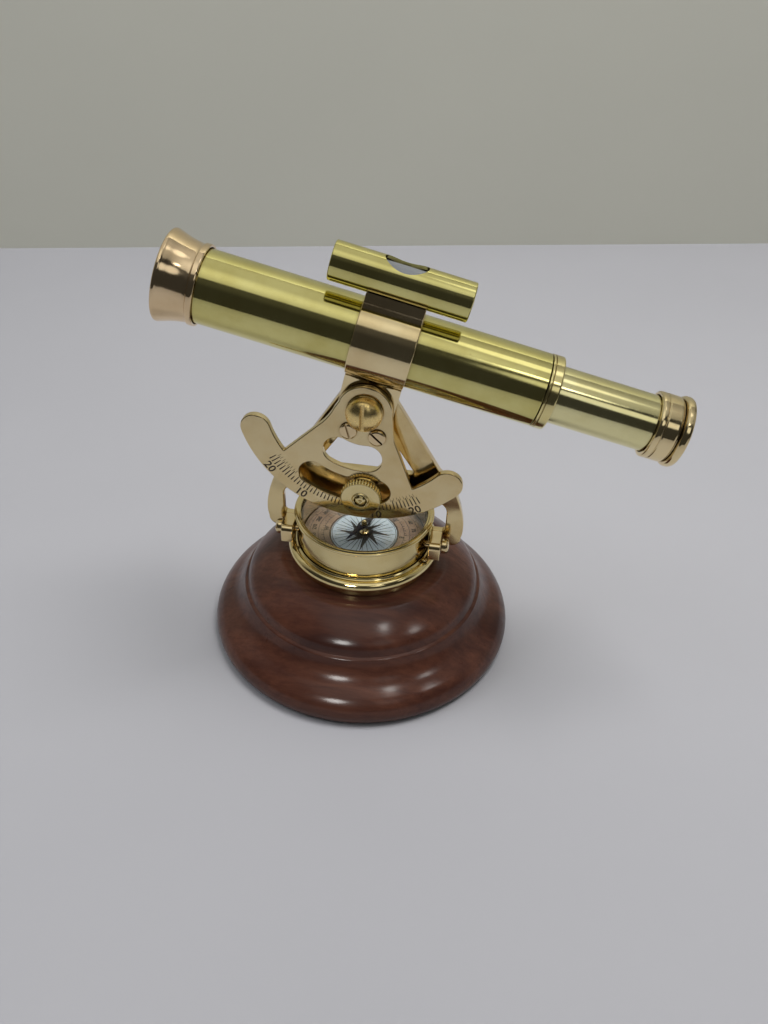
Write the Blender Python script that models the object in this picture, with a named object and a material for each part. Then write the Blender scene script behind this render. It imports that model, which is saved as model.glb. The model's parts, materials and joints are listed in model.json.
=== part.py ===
"""Desk theodolite: a brass telescope and spirit level on a tilting sector, carried by an A-frame
over a compass on a turned wooden base.

World origin: centre of the underside of the wooden base, +Z up, +X towards the eyepiece.
The driving dimensions below are in millimetres; everything is built in metres.
"""
from math import acos, atan2, cos, hypot, pi, radians, sin

import bmesh
import bpy
from mathutils import Matrix, Vector
from mathutils.geometry import tessellate_polygon

MM = 0.001
GAP = 0.3                       # clearance left between touching pieces

# Wooden base
BASE_R = 59.3
BASE_H = 34.5
BASE_ARRIS_R = 46.9             # sharp step between the cove and the round shoulder
BASE_ARRIS_Z = 21.3
BASE_TOP_R = 34.5

# Compass
RING_R = 29.1                   # bead flange under the compass
RING_TOP = 42.0
WALL_R = 25.3                   # outside of the housing wall
WALL_IN = 23.6
WALL_TOP = 53.1
FLOOR_TOP = 40.6
BEZEL_R = 26.5
BEZEL_TOP = 54.8
GLASS_R = 24.4
GLASS_Z = (51.6, 53.1)
DIAL_Z = (40.9, 42.0)
ROSE_R = 12.7
NEEDLE_Z = 46.0
NEEDLE_HALF = 11.6

# A-frame: a flat plate behind the sector
PIVOT_Z = 100.4
FRAME_Y = (-1.0, 2.0)           # front and back face
FRAME_HUB_R = 10.0
CROSSBAR_TOP = 73.3
FOOT_Z = RING_TOP + GAP
FOOT_TOP = 48.6

# Side brackets, between the compass and the feet of the frame
BRACKET_X = (25.8, 30.3)
BRACKET_Y = (-10.5, -1.3)
BRACKET_TOP = 48.8
BRACKET_SCREW_Y = -5.5
BRACKET_SCREW_Z = 45.5
FOOT_SCREW_X = 28.1
FOOT_SCREW_Z = 45.5

# Sector plate, in its own plane: radii from the pivot, angles from straight down
SECTOR_Y = (-5.5, -3.1)
SECTOR_R = 46.2
ARM_INNER_R = 35.2
ARM_END = 60.8
CORNER_ANGLE = 43.1
WAIST = ((14.6, -11.2), (12.7, -8.2), (11.3, -4.9), (10.4, -1.7))
ARCH_R = 9.5
SLOT = (34.0, 5.1, 20.8)        # middle radius, half width, angle of the end centres
WINDOW = (19.5, 5.4, 16.0)
SECTOR_SCREWS = ((-3.7, -9.1), (6.6, -8.5))
TONGUE_Y = (-2.8, -1.3)

# Telescope, measured from the pivot along and square to the telescope
TILT = radians(12.5)            # eyepiece end down
AXIS_H = 24.55
TUBE_R = 12.25
TUBE_IN = 11.2
TUBE_A = (-66.0, 53.2)
BAND_R = 13.4
BAND_HALF = 10.0
HOOD_A = (-74.2, -61.3)
COLLAR_A = (53.5, 57.6)
DRAW_R = 9.6
DRAW_A = (22.0, 98.0)
CAP_A = (91.1, 98.8)
EYE_A = (99.1, 102.7)

# Spirit level above the telescope
LEVEL_H = 46.35
LEVEL_R = 6.35
LEVEL_HALF = 23.1
LEVEL_WINDOW = (7.1, 3.9)       # half length, half width

# Clamp and pivot hardware
STUD_Z = PIVOT_Z - SLOT[0]
STUD_R = 2.0
KNOB_R = 7.5
KNOB_Y = (-10.8, -6.9)
KNOB_TEETH = 34
PIVOT_SHANK_R = 2.5
BALL_R = 6.4

TO_FRONT = (pi / 2, 0.0, 0.0)           # local Z points to -Y, local Y up
TO_RIGHT = (0.0, pi / 2, 0.0)           # local Z points to +X
TO_LEFT = (0.0, -pi / 2, 0.0)
ALONG_X = (pi / 2, 0.0, pi / 2)         # local X to +Y, local Y up, local Z to +X


def clear_scene():
    for thing in list(bpy.data.objects):
        bpy.data.objects.remove(thing, do_unlink=True)


def material(name, colour, roughness, metallic, transmission=0.0):
    made = bpy.data.materials.new(name)
    made.use_nodes = True
    shader = made.node_tree.nodes["Principled BSDF"]
    shader.inputs["Base Color"].default_value = (*colour, 1.0)
    shader.inputs["Roughness"].default_value = roughness
    shader.inputs["Metallic"].default_value = metallic
    shader.inputs["Transmission Weight"].default_value = transmission
    made.diffuse_color = (*colour, 1.0)
    return made


LOOKS = {
    "brass": ((0.72, 0.58, 0.30), 0.18, 1.0, 0.0),
    "yellow_brass": ((0.62, 0.50, 0.16), 0.16, 1.0, 0.0),
    "bronze": ((0.74, 0.50, 0.33), 0.20, 1.0, 0.0),
    "steel": ((0.05, 0.06, 0.09), 0.35, 1.0, 0.0),
    "wood": ((0.055, 0.018, 0.014), 0.22, 0.0, 0.0),
    "paper": ((0.42, 0.34, 0.22), 0.70, 0.0, 0.0),
    "rose": ((0.36, 0.44, 0.56), 0.55, 0.0, 0.0),
    "glass": ((0.90, 0.95, 0.93), 0.04, 0.0, 1.0),
    "spirit": ((0.70, 0.78, 0.42), 0.05, 0.0, 0.8),
}


def finish(name, bm, look, location=(0, 0, 0), rotation=(0, 0, 0), parent=None, smooth=32):
    """Turns a bmesh in millimetres into a named object with its own material."""
    bmesh.ops.scale(bm, vec=(MM, MM, MM), verts=bm.verts)
    bmesh.ops.recalc_face_normals(bm, faces=bm.faces)
    mesh = bpy.data.meshes.new(name)
    bm.to_mesh(mesh)
    bm.free()
    for face in mesh.polygons:
        face.use_smooth = True
    mesh.set_sharp_from_angle(angle=radians(smooth))
    thing = bpy.data.objects.new(name, mesh)
    bpy.context.scene.collection.objects.link(thing)
    if look:
        mesh.materials.append(material(name + "_" + look, *LOOKS[look]))
    thing.parent = parent
    thing.location = [v * MM for v in location]
    thing.rotation_euler = rotation
    return thing


def turned(profile, steps, phase=0.0, teeth=()):
    """Revolves a closed (radius, height) profile about Z; `teeth` maps point index to tooth depth."""
    teeth = dict(teeth)
    bm = bmesh.new()
    rings = []
    for index, (r, z) in enumerate(profile):
        if r < 1e-6:
            rings.append([bm.verts.new((0, 0, z))])
            continue
        ring = []
        for k in range(steps):
            angle = 2 * pi * k / steps + phase
            rr = r - (teeth.get(index, 0.0) if k % 2 else 0.0)
            ring.append(bm.verts.new((rr * cos(angle), rr * sin(angle), z)))
        rings.append(ring)
    for low, high in zip(rings, rings[1:] + rings[:1]):
        if len(low) == 1 and len(high) == 1:
            continue
        for k in range(steps):
            n = (k + 1) % steps
            if len(low) == 1:
                bm.faces.new((low[0], high[k], high[n]))
            elif len(high) == 1:
                bm.faces.new((low[k], high[0], low[n]))
            else:
                bm.faces.new((low[k], high[k], high[n], low[n]))
    return bm


def arc(cx, cy, r, start, end, count):
    """Points on an arc, angles in degrees, both ends included."""
    points = []
    for k in range(count + 1):
        angle = radians(start + (end - start) * k / count)
        points.append((cx + r * cos(angle), cy + r * sin(angle)))
    return points


def circle(cx, cy, r, count=16):
    return arc(cx, cy, r, 0, 360, count)[:-1]


def mirrored(points):
    """The points followed by their mirror images in reverse order."""
    return points + [(-x, y) for x, y in reversed(points)]


def area(loop):
    return 0.5 * sum(a[0] * b[1] - b[0] * a[1] for a, b in zip(loop, loop[1:] + loop[:1]))


def inset(loop, distance):
    """Moves a loop into the material by `distance` with mitred corners."""
    moved = []
    for before, here, after in zip(loop[-1:] + loop[:-1], loop, loop[1:] + loop[:1]):
        ax, ay = here[0] - before[0], here[1] - before[1]
        bx, by = after[0] - here[0], after[1] - here[1]
        la, lb = hypot(ax, ay), hypot(bx, by)
        n1 = (ay / la, -ax / la)
        n2 = (by / lb, -bx / lb)
        scale = distance / max(0.35, 1 + n1[0] * n2[0] + n1[1] * n2[1])
        moved.append((here[0] - (n1[0] + n2[0]) * scale, here[1] - (n1[1] + n2[1]) * scale))
    return moved


def slab(outline, holes, z0, z1, edge=0.3):
    """A flat plate with holes between heights z0 and z1, its edges chamfered by `edge`."""
    loops = [outline if area(outline) > 0 else outline[::-1]]
    loops += [hole if area(hole) < 0 else hole[::-1] for hole in holes]
    bm = bmesh.new()
    layers = [(z0, edge), (z0 + edge, 0.0), (z1 - edge, 0.0), (z1, edge)] if edge else [(z0, 0.0),
            (z1, 0.0)]
    made = []
    for z, shrink in layers:
        made.append([[bm.verts.new((x, y, z)) for x, y in inset(loop, shrink)] for loop in loops])
    for low, high in zip(made, made[1:]):
        for ring_low, ring_high in zip(low, high):
            count = len(ring_low)
            for k in range(count):
                n = (k + 1) % count
                bm.faces.new((ring_low[k], ring_low[n], ring_high[n], ring_high[k]))
    for layer in (made[0], made[-1]):
        verts = [v for ring in layer for v in ring]
        flat = [[Vector((v.co.x, v.co.y, 0)) for v in ring] for ring in layer]
        for a, b, c in tessellate_polygon(flat):
            bm.faces.new((verts[a], verts[b], verts[c]))
    return bm


def box(x0, x1, y0, y1, z0, z1):
    return slab([(x0, y0), (x1, y0), (x1, y1), (x0, y1)], [], z0, z1, edge=0)


def boolean(thing, cutter, operation="DIFFERENCE"):
    """Applies one exact Boolean and removes the cutter."""
    step = thing.modifiers.new("cut", "BOOLEAN")
    step.operation = operation
    step.solver = "EXACT"
    step.object = cutter
    bpy.context.view_layer.update()
    graph = bpy.context.evaluated_depsgraph_get()
    mesh = bpy.data.meshes.new_from_object(thing.evaluated_get(graph))
    old = thing.data
    thing.modifiers.clear()
    thing.data = mesh
    bpy.data.meshes.remove(old)
    bpy.data.objects.remove(cutter, do_unlink=True)
    return thing


def drill(thing, r, z0, z1, location, rotation, parent=None, steps=16):
    cutter = finish("cutter", turned([(0, z0), (r, z0), (r, z1), (0, z1)], steps), None, location,
                    rotation, parent)
    return boolean(thing, cutter)


def slotted(name, head, shank_r, shank, slot_w, slot_d, look, location, rotation, parent=None,
            steps=16, turn=0.0):
    """A screw with a slotted head; `head` is the outer profile from the rim up to the middle."""
    profile = [(0, -shank), (shank_r, -shank), (shank_r, 0.0)] + head
    thing = finish(name, turned(profile, steps), look, location, rotation, parent)
    top = head[-1][1]
    reach = head[0][0] + 1
    bm = box(-slot_w / 2, slot_w / 2, -reach, reach, top - slot_d, top + 1)
    bmesh.ops.rotate(bm, cent=(0, 0, 0), matrix=Matrix.Rotation(turn, 3, "Z"), verts=bm.verts)
    return boolean(thing, finish("cutter", bm, None, location, rotation, parent))


def polar(r, degrees_from_down):
    return (r * sin(radians(degrees_from_down)), -r * cos(radians(degrees_from_down)))


def arc_slot(middle, half_width, end_angle, side=10, tip=8):
    """Outline of a slot that follows a circle about the pivot."""
    outer = arc(0, 0, middle + half_width, -90 - end_angle, -90 + end_angle, side)
    inner = arc(0, 0, middle - half_width, -90 + end_angle, -90 - end_angle, side)
    right = polar(middle, end_angle)
    left = polar(middle, -end_angle)
    right_tip = arc(*right, half_width, -90 + end_angle, 90 + end_angle, tip)[1:-1]
    left_tip = arc(*left, half_width, 90 - end_angle, 270 - end_angle, tip)[1:-1]
    return outer + right_tip + inner + left_tip


# ---------------------------------------------------------------- wooden base and compass

def wooden_base():
    """Broad round rim, cove up to a sharp arris, then a round shoulder to the flat top."""
    rim = [(0, 0), (55.8, 0), (57.6, 0.5), (58.8, 1.7), (BASE_R, 3.7), (59.0, 5.9), (58.0, 8.2),
           (56.3, 10.3)]
    cove = [(54.2, 12.0), (52.0, 13.6), (50.0, 15.5), (48.4, 17.8), (47.3, 20.2),
            (BASE_ARRIS_R, BASE_ARRIS_Z)]
    shoulder = [(45.75, 22.0), (45.4, 23.1), (44.7, 25.1), (43.3, 27.0), (40.9, 29.2), (37.8, 31.6)]
    top = [(BASE_TOP_R + 0.4, BASE_H - 1.1), (BASE_TOP_R - 1.2, BASE_H - 0.3), (BASE_TOP_R - 3.0, BASE_H),
           (0, BASE_H)]
    finish("wooden_base", turned(rim + cove + shoulder + top, 48), "wood", smooth=40)


def compass():
    low = BASE_H + GAP
    neck = [(25.6, low), (27.1, low), (27.1, RING_TOP - 5.0)]
    bead = []
    for degrees in range(-90, 91, 30):
        t = radians(degrees)
        bead.append((RING_R - 1.4 + 1.4 * cos(t), RING_TOP - 2.5 + 2.5 * sin(t)))
    ring = finish("compass_base_ring", turned(neck + bead + [(27.0, RING_TOP), (25.6, RING_TOP)], 40),
                  "brass")
    for name, turn in (("ring_screw_front", -24.0), ("ring_screw_rear", 156.0)):
        spot = (27.0 * cos(radians(turn)), 27.0 * sin(radians(turn)), RING_TOP + 0.2)
        ring = drill(ring, 0.9, -2.0, 2.0, spot, (0, 0, 0), steps=12)
        slotted(name, [(1.1, 0.05), (1.0, 0.45), (0, 0.6)], 0.6, 1.9, 0.35, 0.3, "brass", spot, (0, 0, 0),
                steps=12)
    seat = GLASS_Z[0] - GAP
    wall = [(0, low), (WALL_R, low), (WALL_R, WALL_TOP), (GLASS_R + GAP, WALL_TOP), (GLASS_R + GAP, seat),
            (WALL_IN, seat), (WALL_IN, FLOOR_TOP), (0, FLOOR_TOP)]
    housing = finish("compass_housing", turned(wall, 40), "brass")
    for side, rotation in ((-1, TO_LEFT), (1, TO_RIGHT)):
        drill(housing, 1.6, -4, 4, (side * 24.0, BRACKET_SCREW_Y, BRACKET_SCREW_Z), rotation)
    z0, z1 = DIAL_Z
    finish("compass_dial_ring", turned([(ROSE_R + GAP, z0), (23.2, z0), (23.2, z1), (ROSE_R + GAP, z1)],
                                       40), "paper")
    finish("compass_rose_plate", turned([(0, z0), (ROSE_R, z0), (ROSE_R, z1), (0, z1)], 32), "rose")
    pin = [(0, z1 + GAP), (1.8, z1 + GAP), (1.8, z1 + 0.9), (0.7, z1 + 1.3), (0.45, 45.8), (0.0, 46.7)]
    finish("needle_pivot", turned(pin, 12), "brass")
    needle = slab([(NEEDLE_HALF, 0), (0, 1.9), (-NEEDLE_HALF, 0), (0, -1.9)], [circle(0, 0, 1.45, 12)],
                  0.0, 0.5, edge=0)
    finish("compass_needle", needle, "steel", (0, 0, NEEDLE_Z), (0, 0, radians(63)))
    cap = [(0.75, -0.5), (1.15, -0.5), (1.15, 1.0), (0.7, 1.7), (0, 2.0), (0, 1.1), (0.75, 0.7)]
    finish("needle_cap", turned(cap, 12), "brass", (0, 0, NEEDLE_Z))
    z0, z1 = GLASS_Z
    finish("compass_glass", turned([(0, z0), (GLASS_R, z0), (GLASS_R, z1), (0, z1)], 40), "glass")
    bezel = [(25.6, 53.1), (BEZEL_R, 53.1), (BEZEL_R, 54.2), (25.9, BEZEL_TOP), (25.2, BEZEL_TOP),
             (24.3, 54.3),
             (24.1, 53.4), (25.6, 53.4)]
    finish("compass_bezel", turned(bezel, 40), "brass")


# ---------------------------------------------------------------- A-frame and its fixings

def side_brackets():
    y0, y1 = BRACKET_Y
    z1 = BRACKET_TOP
    outline = [(y0, FOOT_Z), (y1, FOOT_Z), (y1, z1)] + arc(y0 + 2.4, z1 - 2.4, 2.4, 90, 180, 5)
    for side, word, rotation in ((-1, "left", TO_LEFT), (1, "right", TO_RIGHT)):
        x = BRACKET_X[0] if side > 0 else -BRACKET_X[1]
        bm = slab(outline, [circle(BRACKET_SCREW_Y, BRACKET_SCREW_Z, 1.6)], 0, BRACKET_X[1] - BRACKET_X[0],
                  0.25)
        block = finish("bracket_" + word, bm, "bronze", (x, 0, 0), ALONG_X)
        drill(block, 1.5, -1, 3.0, (side * FOOT_SCREW_X, y1, FOOT_SCREW_Z), TO_FRONT)
        head = [(2.9, 0.0), (2.9, 1.6), (2.4, 2.5), (0, 2.7)]
        slotted("bracket_screw_" + word, head, 1.3, 7.1, 0.9, 1.1, "brass",
                (side * (BRACKET_X[1] + GAP), BRACKET_SCREW_Y, BRACKET_SCREW_Z), rotation)
        slotted("foot_screw_" + word, [(2.2, 0.0), (2.1, 0.8), (0, 1.2)], 1.2, 5.6, 0.6, 0.6, "brass",
                (side * FOOT_SCREW_X, FRAME_Y[1] + GAP, FOOT_SCREW_Z), (-pi / 2, 0, 0), steps=16)


def a_frame():
    """Legs tangent to the hub, ears wrapping round the compass, feet turned in, ogee crossbar."""
    shoulder = (27.0, 76.0)
    reach = hypot(shoulder[0], shoulder[1] - PIVOT_Z)
    tangent = atan2(shoulder[1] - PIVOT_Z, shoulder[0]) + acos(FRAME_HUB_R / reach)
    tangent = tangent * 180 / pi
    right = arc(0, PIVOT_Z, FRAME_HUB_R, 90, tangent, 7)[1:]
    right += [shoulder, (30.8, 71.6), (33.9, 66.4), (36.1, 60.4), (37.4, 54.4), (37.7, 50.2), (37.5, 47.6)]
    right += arc(33.6, FOOT_Z + 3.6, 3.6, 0, -90, 5)[1:]
    right += [(BRACKET_X[0] + 0.1, FOOT_Z), (BRACKET_X[0] + 0.1, FOOT_TOP), (29.4, FOOT_TOP)]
    right += arc(29.4, FOOT_TOP + 1.6, 1.6, -90, 0, 4)[1:]
    right += arc(26.6, 57.4, 4.4, 0, 160, 9)
    right += [(20.7, 56.6), (18.9, 55.6), (16.6, 55.2), (14.2, 55.7), (11.6, 57.0), (8.6, 58.1),
              (4.6, 58.6)]
    outline = [(0, PIVOT_Z + FRAME_HUB_R)] + mirrored(right)
    inner_leg = (17.8, CROSSBAR_TOP + 1.0)
    neck = arc(0, PIVOT_Z, 13.3, -55, -90, 4)
    opening = mirrored([(16.9, CROSSBAR_TOP), inner_leg] + neck[:-1])
    opening = opening[:6] + [neck[-1]] + opening[6:]
    holes = [opening, circle(0, PIVOT_Z, PIVOT_SHANK_R + GAP, 20), circle(0, STUD_Z, STUD_R + GAP, 16)]
    holes += [circle(side * FOOT_SCREW_X, FOOT_SCREW_Z, 1.5, 12) for side in (-1, 1)]
    finish("a_frame", slab(outline, holes, -FRAME_Y[1], -FRAME_Y[0], 0.35), "brass", rotation=TO_FRONT)


def pivot_hardware():
    base = SECTOR_Y[0] - GAP
    washer = [(PIVOT_SHANK_R + GAP, 0), (6.45, 0), (6.3, 0.6), (PIVOT_SHANK_R + GAP, 0.6)]
    finish("pivot_washer", turned(washer, 24), "brass", (0, base, PIVOT_Z), TO_FRONT)
    seat = base - 0.6 - GAP
    dome = [(BALL_R * cos(t), 0.5 + 4.9 * sin(t)) for t in (radians(k) for k in range(0, 90, 15))]
    shank = FRAME_Y[1] + GAP + 3.4 - seat
    slotted("pivot_screw", [(BALL_R, 0.0)] + dome + [(0, 5.4)], PIVOT_SHANK_R, shank, 1.3, 1.9, "brass",
            (0, seat, PIVOT_Z), TO_FRONT, steps=28)
    nut = slab(circle(0, 0, 5.2, 6), [circle(0, 0, PIVOT_SHANK_R + GAP, 20)], 0.0, 2.6, 0.3)
    finish("pivot_nut", nut, "brass", (0, FRAME_Y[1] + GAP, PIVOT_Z), (-pi / 2, 0, 0))


def clamp():
    flange = FRAME_Y[1] + GAP
    tip = KNOB_Y[0] - 0.7
    stud = [(0, -1.4), (3.6, -1.4), (4.0, -1.0), (4.0, 0), (STUD_R, 0), (STUD_R, flange - tip - 0.4),
            (STUD_R - 0.5, flange - tip), (0, flange - tip)]
    finish("clamp_stud", turned(stud, 20), "bronze", (0, flange, STUD_Z), TO_FRONT)
    washer = [(STUD_R + GAP, 0), (6.6, 0), (6.4, 0.8), (STUD_R + GAP, 0.8)]
    finish("clamp_washer", turned(washer, 24), "brass", (0, SECTOR_Y[0] - GAP, STUD_Z), TO_FRONT)
    deep = KNOB_Y[1] - KNOB_Y[0]
    bore = STUD_R + GAP
    knob = [(bore, 0), (KNOB_R - 1.1, 0), (KNOB_R, 0.7), (KNOB_R, deep - 0.9), (KNOB_R - 0.8, deep - 0.15),
            (KNOB_R - 1.2, deep), (3.1, deep), (3.1, deep + 0.5), (bore, deep + 0.5)]
    body = turned(knob, 2 * KNOB_TEETH, teeth=((2, 0.42), (3, 0.42)))
    finish("clamp_knob", body, "brass", (0, KNOB_Y[1], STUD_Z), TO_FRONT)


# ---------------------------------------------------------------- sector, telescope and level

def sector(tilt):
    arch = list(WAIST) + arc(0, 0, ARCH_R, 5, 90, 6)
    middle = (SECTOR_R + ARM_INNER_R) / 2
    half = (SECTOR_R - ARM_INNER_R) / 2
    arm = arc(0, 0, ARM_INNER_R, CORNER_ANGLE - 90, ARM_END - 90, 3)
    tip = arc(*polar(middle, ARM_END), half, ARM_END + 90, ARM_END - 90, 9)[1:]
    rim = arc(0, 0, SECTOR_R, ARM_END - 90, -90, 14)[1:]
    right = arch[::-1][1:] + arm + tip + rim[:-1]
    outline = [(0, ARCH_R)] + right + [(0, -SECTOR_R)] + [(-x, y) for x, y in reversed(right)]
    holes = [arc_slot(*SLOT), arc_slot(*WINDOW, side=6), circle(0, 0, PIVOT_SHANK_R + GAP, 20)]
    holes += [circle(a, b, 1.6, 12) for a, b in SECTOR_SCREWS]
    finish("sector_plate", slab(outline, holes, -SECTOR_Y[1], -SECTOR_Y[0], 0.3), "brass",
           rotation=TO_FRONT, parent=tilt)
    for (a, b), word, turn in zip(SECTOR_SCREWS, ("left", "right"), (radians(28), radians(60))):
        slotted("sector_screw_" + word, [(3.1, 0.0), (3.0, 0.7), (2.6, 1.1), (0, 1.3)], 1.3, 4.3, 0.8, 0.7,
                "bronze", (a, SECTOR_Y[0] - GAP, b), TO_FRONT, tilt, turn=turn)


def band_clamp(tilt):
    """Split-free ring round the tube with a flat tongue hanging behind the sector."""
    ring = [(TUBE_R + GAP, -BAND_HALF), (BAND_R - 0.3, -BAND_HALF), (BAND_R, -BAND_HALF + 0.4),
            (BAND_R, BAND_HALF - 0.4), (BAND_R - 0.3, BAND_HALF), (TUBE_R + GAP, BAND_HALF)]
    band = finish("band_clamp", turned(ring, 40), "bronze", (0, 0, AXIS_H), TO_RIGHT, tilt)
    y0, y1 = TONGUE_Y
    section = [(y0, -12.6), (y1, -12.6), (y1, 10.4), (0.2, 10.9), (1.6, 11.75), (-4.4, 11.75),
               (-3.3, 10.9), (y0, 10.0)]
    tongue = finish("tongue", slab(section, [], -9.9, 9.9, 0.0), None, (0, 0, 0), ALONG_X, tilt)
    boolean(band, tongue, "UNION")
    drill(band, PIVOT_SHANK_R + GAP, -8, 8, (0, -2, 0), TO_FRONT, tilt, 20)
    for a, b in SECTOR_SCREWS:
        drill(band, 1.6, -8, 8, (a, -2, b), TO_FRONT, tilt, 12)


def telescope(tilt):
    def along(name, profile, look, steps=32):
        finish(name, turned([(r, a) for a, r in profile], steps), look, (0, 0, AXIS_H), TO_RIGHT, tilt)

    a0, a1 = TUBE_A
    along("telescope_tube", [(a0, TUBE_IN), (a0, TUBE_R), (a1, TUBE_R), (a1, TUBE_IN)], "yellow_brass")
    mouth, seat = HOOD_A
    outer = [(seat, 12.55), (seat, 13.3), (seat - 2.2, 13.3), (seat - 2.6, 13.0), (-67.0, 13.5),
             (-70.4, 14.2),
             (-72.6, 14.9), (-73.6, 15.2), (mouth, 14.8)]
    inner = [(mouth, 14.3), (-71.6, 13.6), (-67.2, 12.4), (a0 - GAP, 12.1), (a0 - GAP, 12.55)]
    along("objective_hood", outer + inner, "bronze")
    along("objective_lens", [(-61.9, 0), (-62.2, 5.4), (-63.0, 10.9), (-64.2, 10.9), (-65.2, 5.4),
                             (-65.6, 0)], "glass", 28)
    along("lens_ring", [(-61.6, 9.7), (-61.6, 10.9), (-60.2, 10.9), (-60.2, 9.7)], "brass", 28)
    c0, c1 = COLLAR_A
    along("end_collar", [(46.0, DRAW_R + GAP), (46.0, 10.9), (c0, 10.9), (c0, 12.0), (c0 + 0.3, 12.4),
                         (c1 - 0.8, 12.4),
                         (c1, 11.6), (c1, DRAW_R + GAP)], "bronze")
    d0, d1 = DRAW_A
    along("draw_tube", [(d0, 8.7), (d0, DRAW_R), (d1, DRAW_R), (d1, 8.7)], "yellow_brass", 32)
    e0, e1 = CAP_A
    along("eyepiece_cap", [(e0, 9.9), (e0, 10.7), (e0 + 0.6, 11.3), (e1 - 1.0, 11.3), (e1 - 0.4, 10.9),
                           (e1, 10.9),
                           (e1, 9.9)], "bronze")
    f0, f1 = EYE_A
    along("eyepiece_ring", [(f0, 8.3), (f0, 10.9), (f0 + 0.3, 11.8), (f1 - 1.2, 12.1), (f1 - 0.3, 11.6),
                            (f1, 10.8),
                            (f1, 6.4), (f1 - 1.0, 4.4), (f1 - 1.5, 4.4), (f1 - 1.5, 8.3)], "bronze")
    along("eye_lens", [(d1 + 0.3, 0), (d1 + 0.6, 4.5), (d1 + 1.0, 8.0), (f0 + 1.7, 8.0), (f0 + 1.7, 0)],
          "glass", 28)


def level(tilt):
    tube = [(-LEVEL_HALF, 5.35), (-LEVEL_HALF, LEVEL_R - 0.3), (-LEVEL_HALF + 0.3, LEVEL_R),
            (LEVEL_HALF - 0.3, LEVEL_R), (LEVEL_HALF, LEVEL_R - 0.3), (LEVEL_HALF, 5.35)]
    body = finish("level_tube", turned([(r, a) for a, r in tube], 36), "yellow_brass", (0, 0, LEVEL_H),
                  TO_RIGHT, tilt)
    half_length, half_width = LEVEL_WINDOW
    oval = [(half_length * x, half_width * y) for x, y in circle(0, 0, 1, 28)]
    boolean(body, finish("cutter", slab(oval, [], 1.5, 9.0, 0.0), None, (0, 0, LEVEL_H), (0, 0, 0), tilt))
    for side, word in ((-1, "left"), (1, "right")):
        plug = [(0, 19.6), (5.05, 19.6), (5.05, LEVEL_HALF - 0.3), (4.7, LEVEL_HALF), (0, LEVEL_HALF + 0.4)]
        finish("level_plug_" + word, turned([(r, side * a) for r, a in plug], 24), "brass",
               (0, 0, LEVEL_H), TO_RIGHT, tilt)
    vial = [(3.7, -19.3), (4.9, -19.3), (4.9, 19.3), (3.7, 19.3)]
    finish("level_vial", turned(vial, 24), "glass", (0, 0, LEVEL_H), TO_RIGHT, tilt)
    spirit = [(0, -19.0), (3.4, -19.0), (3.4, 19.0), (0, 19.0)]
    finish("level_spirit", turned(spirit, 20), "spirit", (0, 0, LEVEL_H), TO_RIGHT, tilt)
    low = arc(0, AXIS_H, BAND_R + GAP, 58, 122, 8)
    high = arc(0, LEVEL_H, LEVEL_R + GAP, -133, -47, 8)
    section = low + [(-5.5, 38.3)] + high + [(5.5, 38.3)]
    finish("level_saddle", slab(section, [], -BAND_HALF + 0.2, BAND_HALF - 0.2, 0.2), "bronze", (0, 0, 0),
           ALONG_X, tilt)


def build():
    clear_scene()
    wooden_base()
    compass()
    side_brackets()
    a_frame()
    pivot_hardware()
    clamp()
    tilt = bpy.data.objects.new("telescope_axis", None)
    bpy.context.scene.collection.objects.link(tilt)
    tilt.location = (0, 0, PIVOT_Z * MM)
    tilt.rotation_euler = (0, TILT, 0)
    sector(tilt)
    band_clamp(tilt)
    telescope(tilt)
    level(tilt)


build()
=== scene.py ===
import json
from math import acos, atan2, cos, degrees, hypot, pi, radians, sin

import bmesh
import bpy
from mathutils import Matrix, Vector
from mathutils.geometry import tessellate_polygon


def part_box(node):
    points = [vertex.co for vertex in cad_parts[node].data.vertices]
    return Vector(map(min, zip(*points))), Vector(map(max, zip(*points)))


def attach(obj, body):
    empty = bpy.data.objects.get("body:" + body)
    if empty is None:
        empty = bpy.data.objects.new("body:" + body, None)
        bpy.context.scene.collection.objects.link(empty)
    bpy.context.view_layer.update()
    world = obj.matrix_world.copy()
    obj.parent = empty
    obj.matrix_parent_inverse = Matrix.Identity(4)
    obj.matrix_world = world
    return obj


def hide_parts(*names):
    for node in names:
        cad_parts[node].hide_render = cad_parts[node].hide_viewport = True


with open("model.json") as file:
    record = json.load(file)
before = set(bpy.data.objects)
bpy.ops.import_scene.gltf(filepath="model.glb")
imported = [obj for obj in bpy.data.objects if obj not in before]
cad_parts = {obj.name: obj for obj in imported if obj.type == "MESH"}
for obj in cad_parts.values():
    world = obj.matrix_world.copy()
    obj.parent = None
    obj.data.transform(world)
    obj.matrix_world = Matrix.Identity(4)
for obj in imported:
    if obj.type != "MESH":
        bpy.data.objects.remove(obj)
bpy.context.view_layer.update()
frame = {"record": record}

MM = 0.001
GAP = 0.3  # between neighbours, as in the CAD model

JOINTS = {joint["name"]: joint for joint in frame["record"]["behaviour"]["joints"]}
PIVOT = Vector(JOINTS["telescope_tilt"]["pos_m"]) / MM
ALONG = Vector(JOINTS["draw_tube_slide"]["axis"])
TILT = atan2(-ALONG.z, ALONG.x)
STUD = Vector(JOINTS["clamp_knob_turn"]["pos_m"]) / MM
NEEDLE = Vector(JOINTS["compass_needle_turn"]["pos_m"]) / MM

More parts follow.
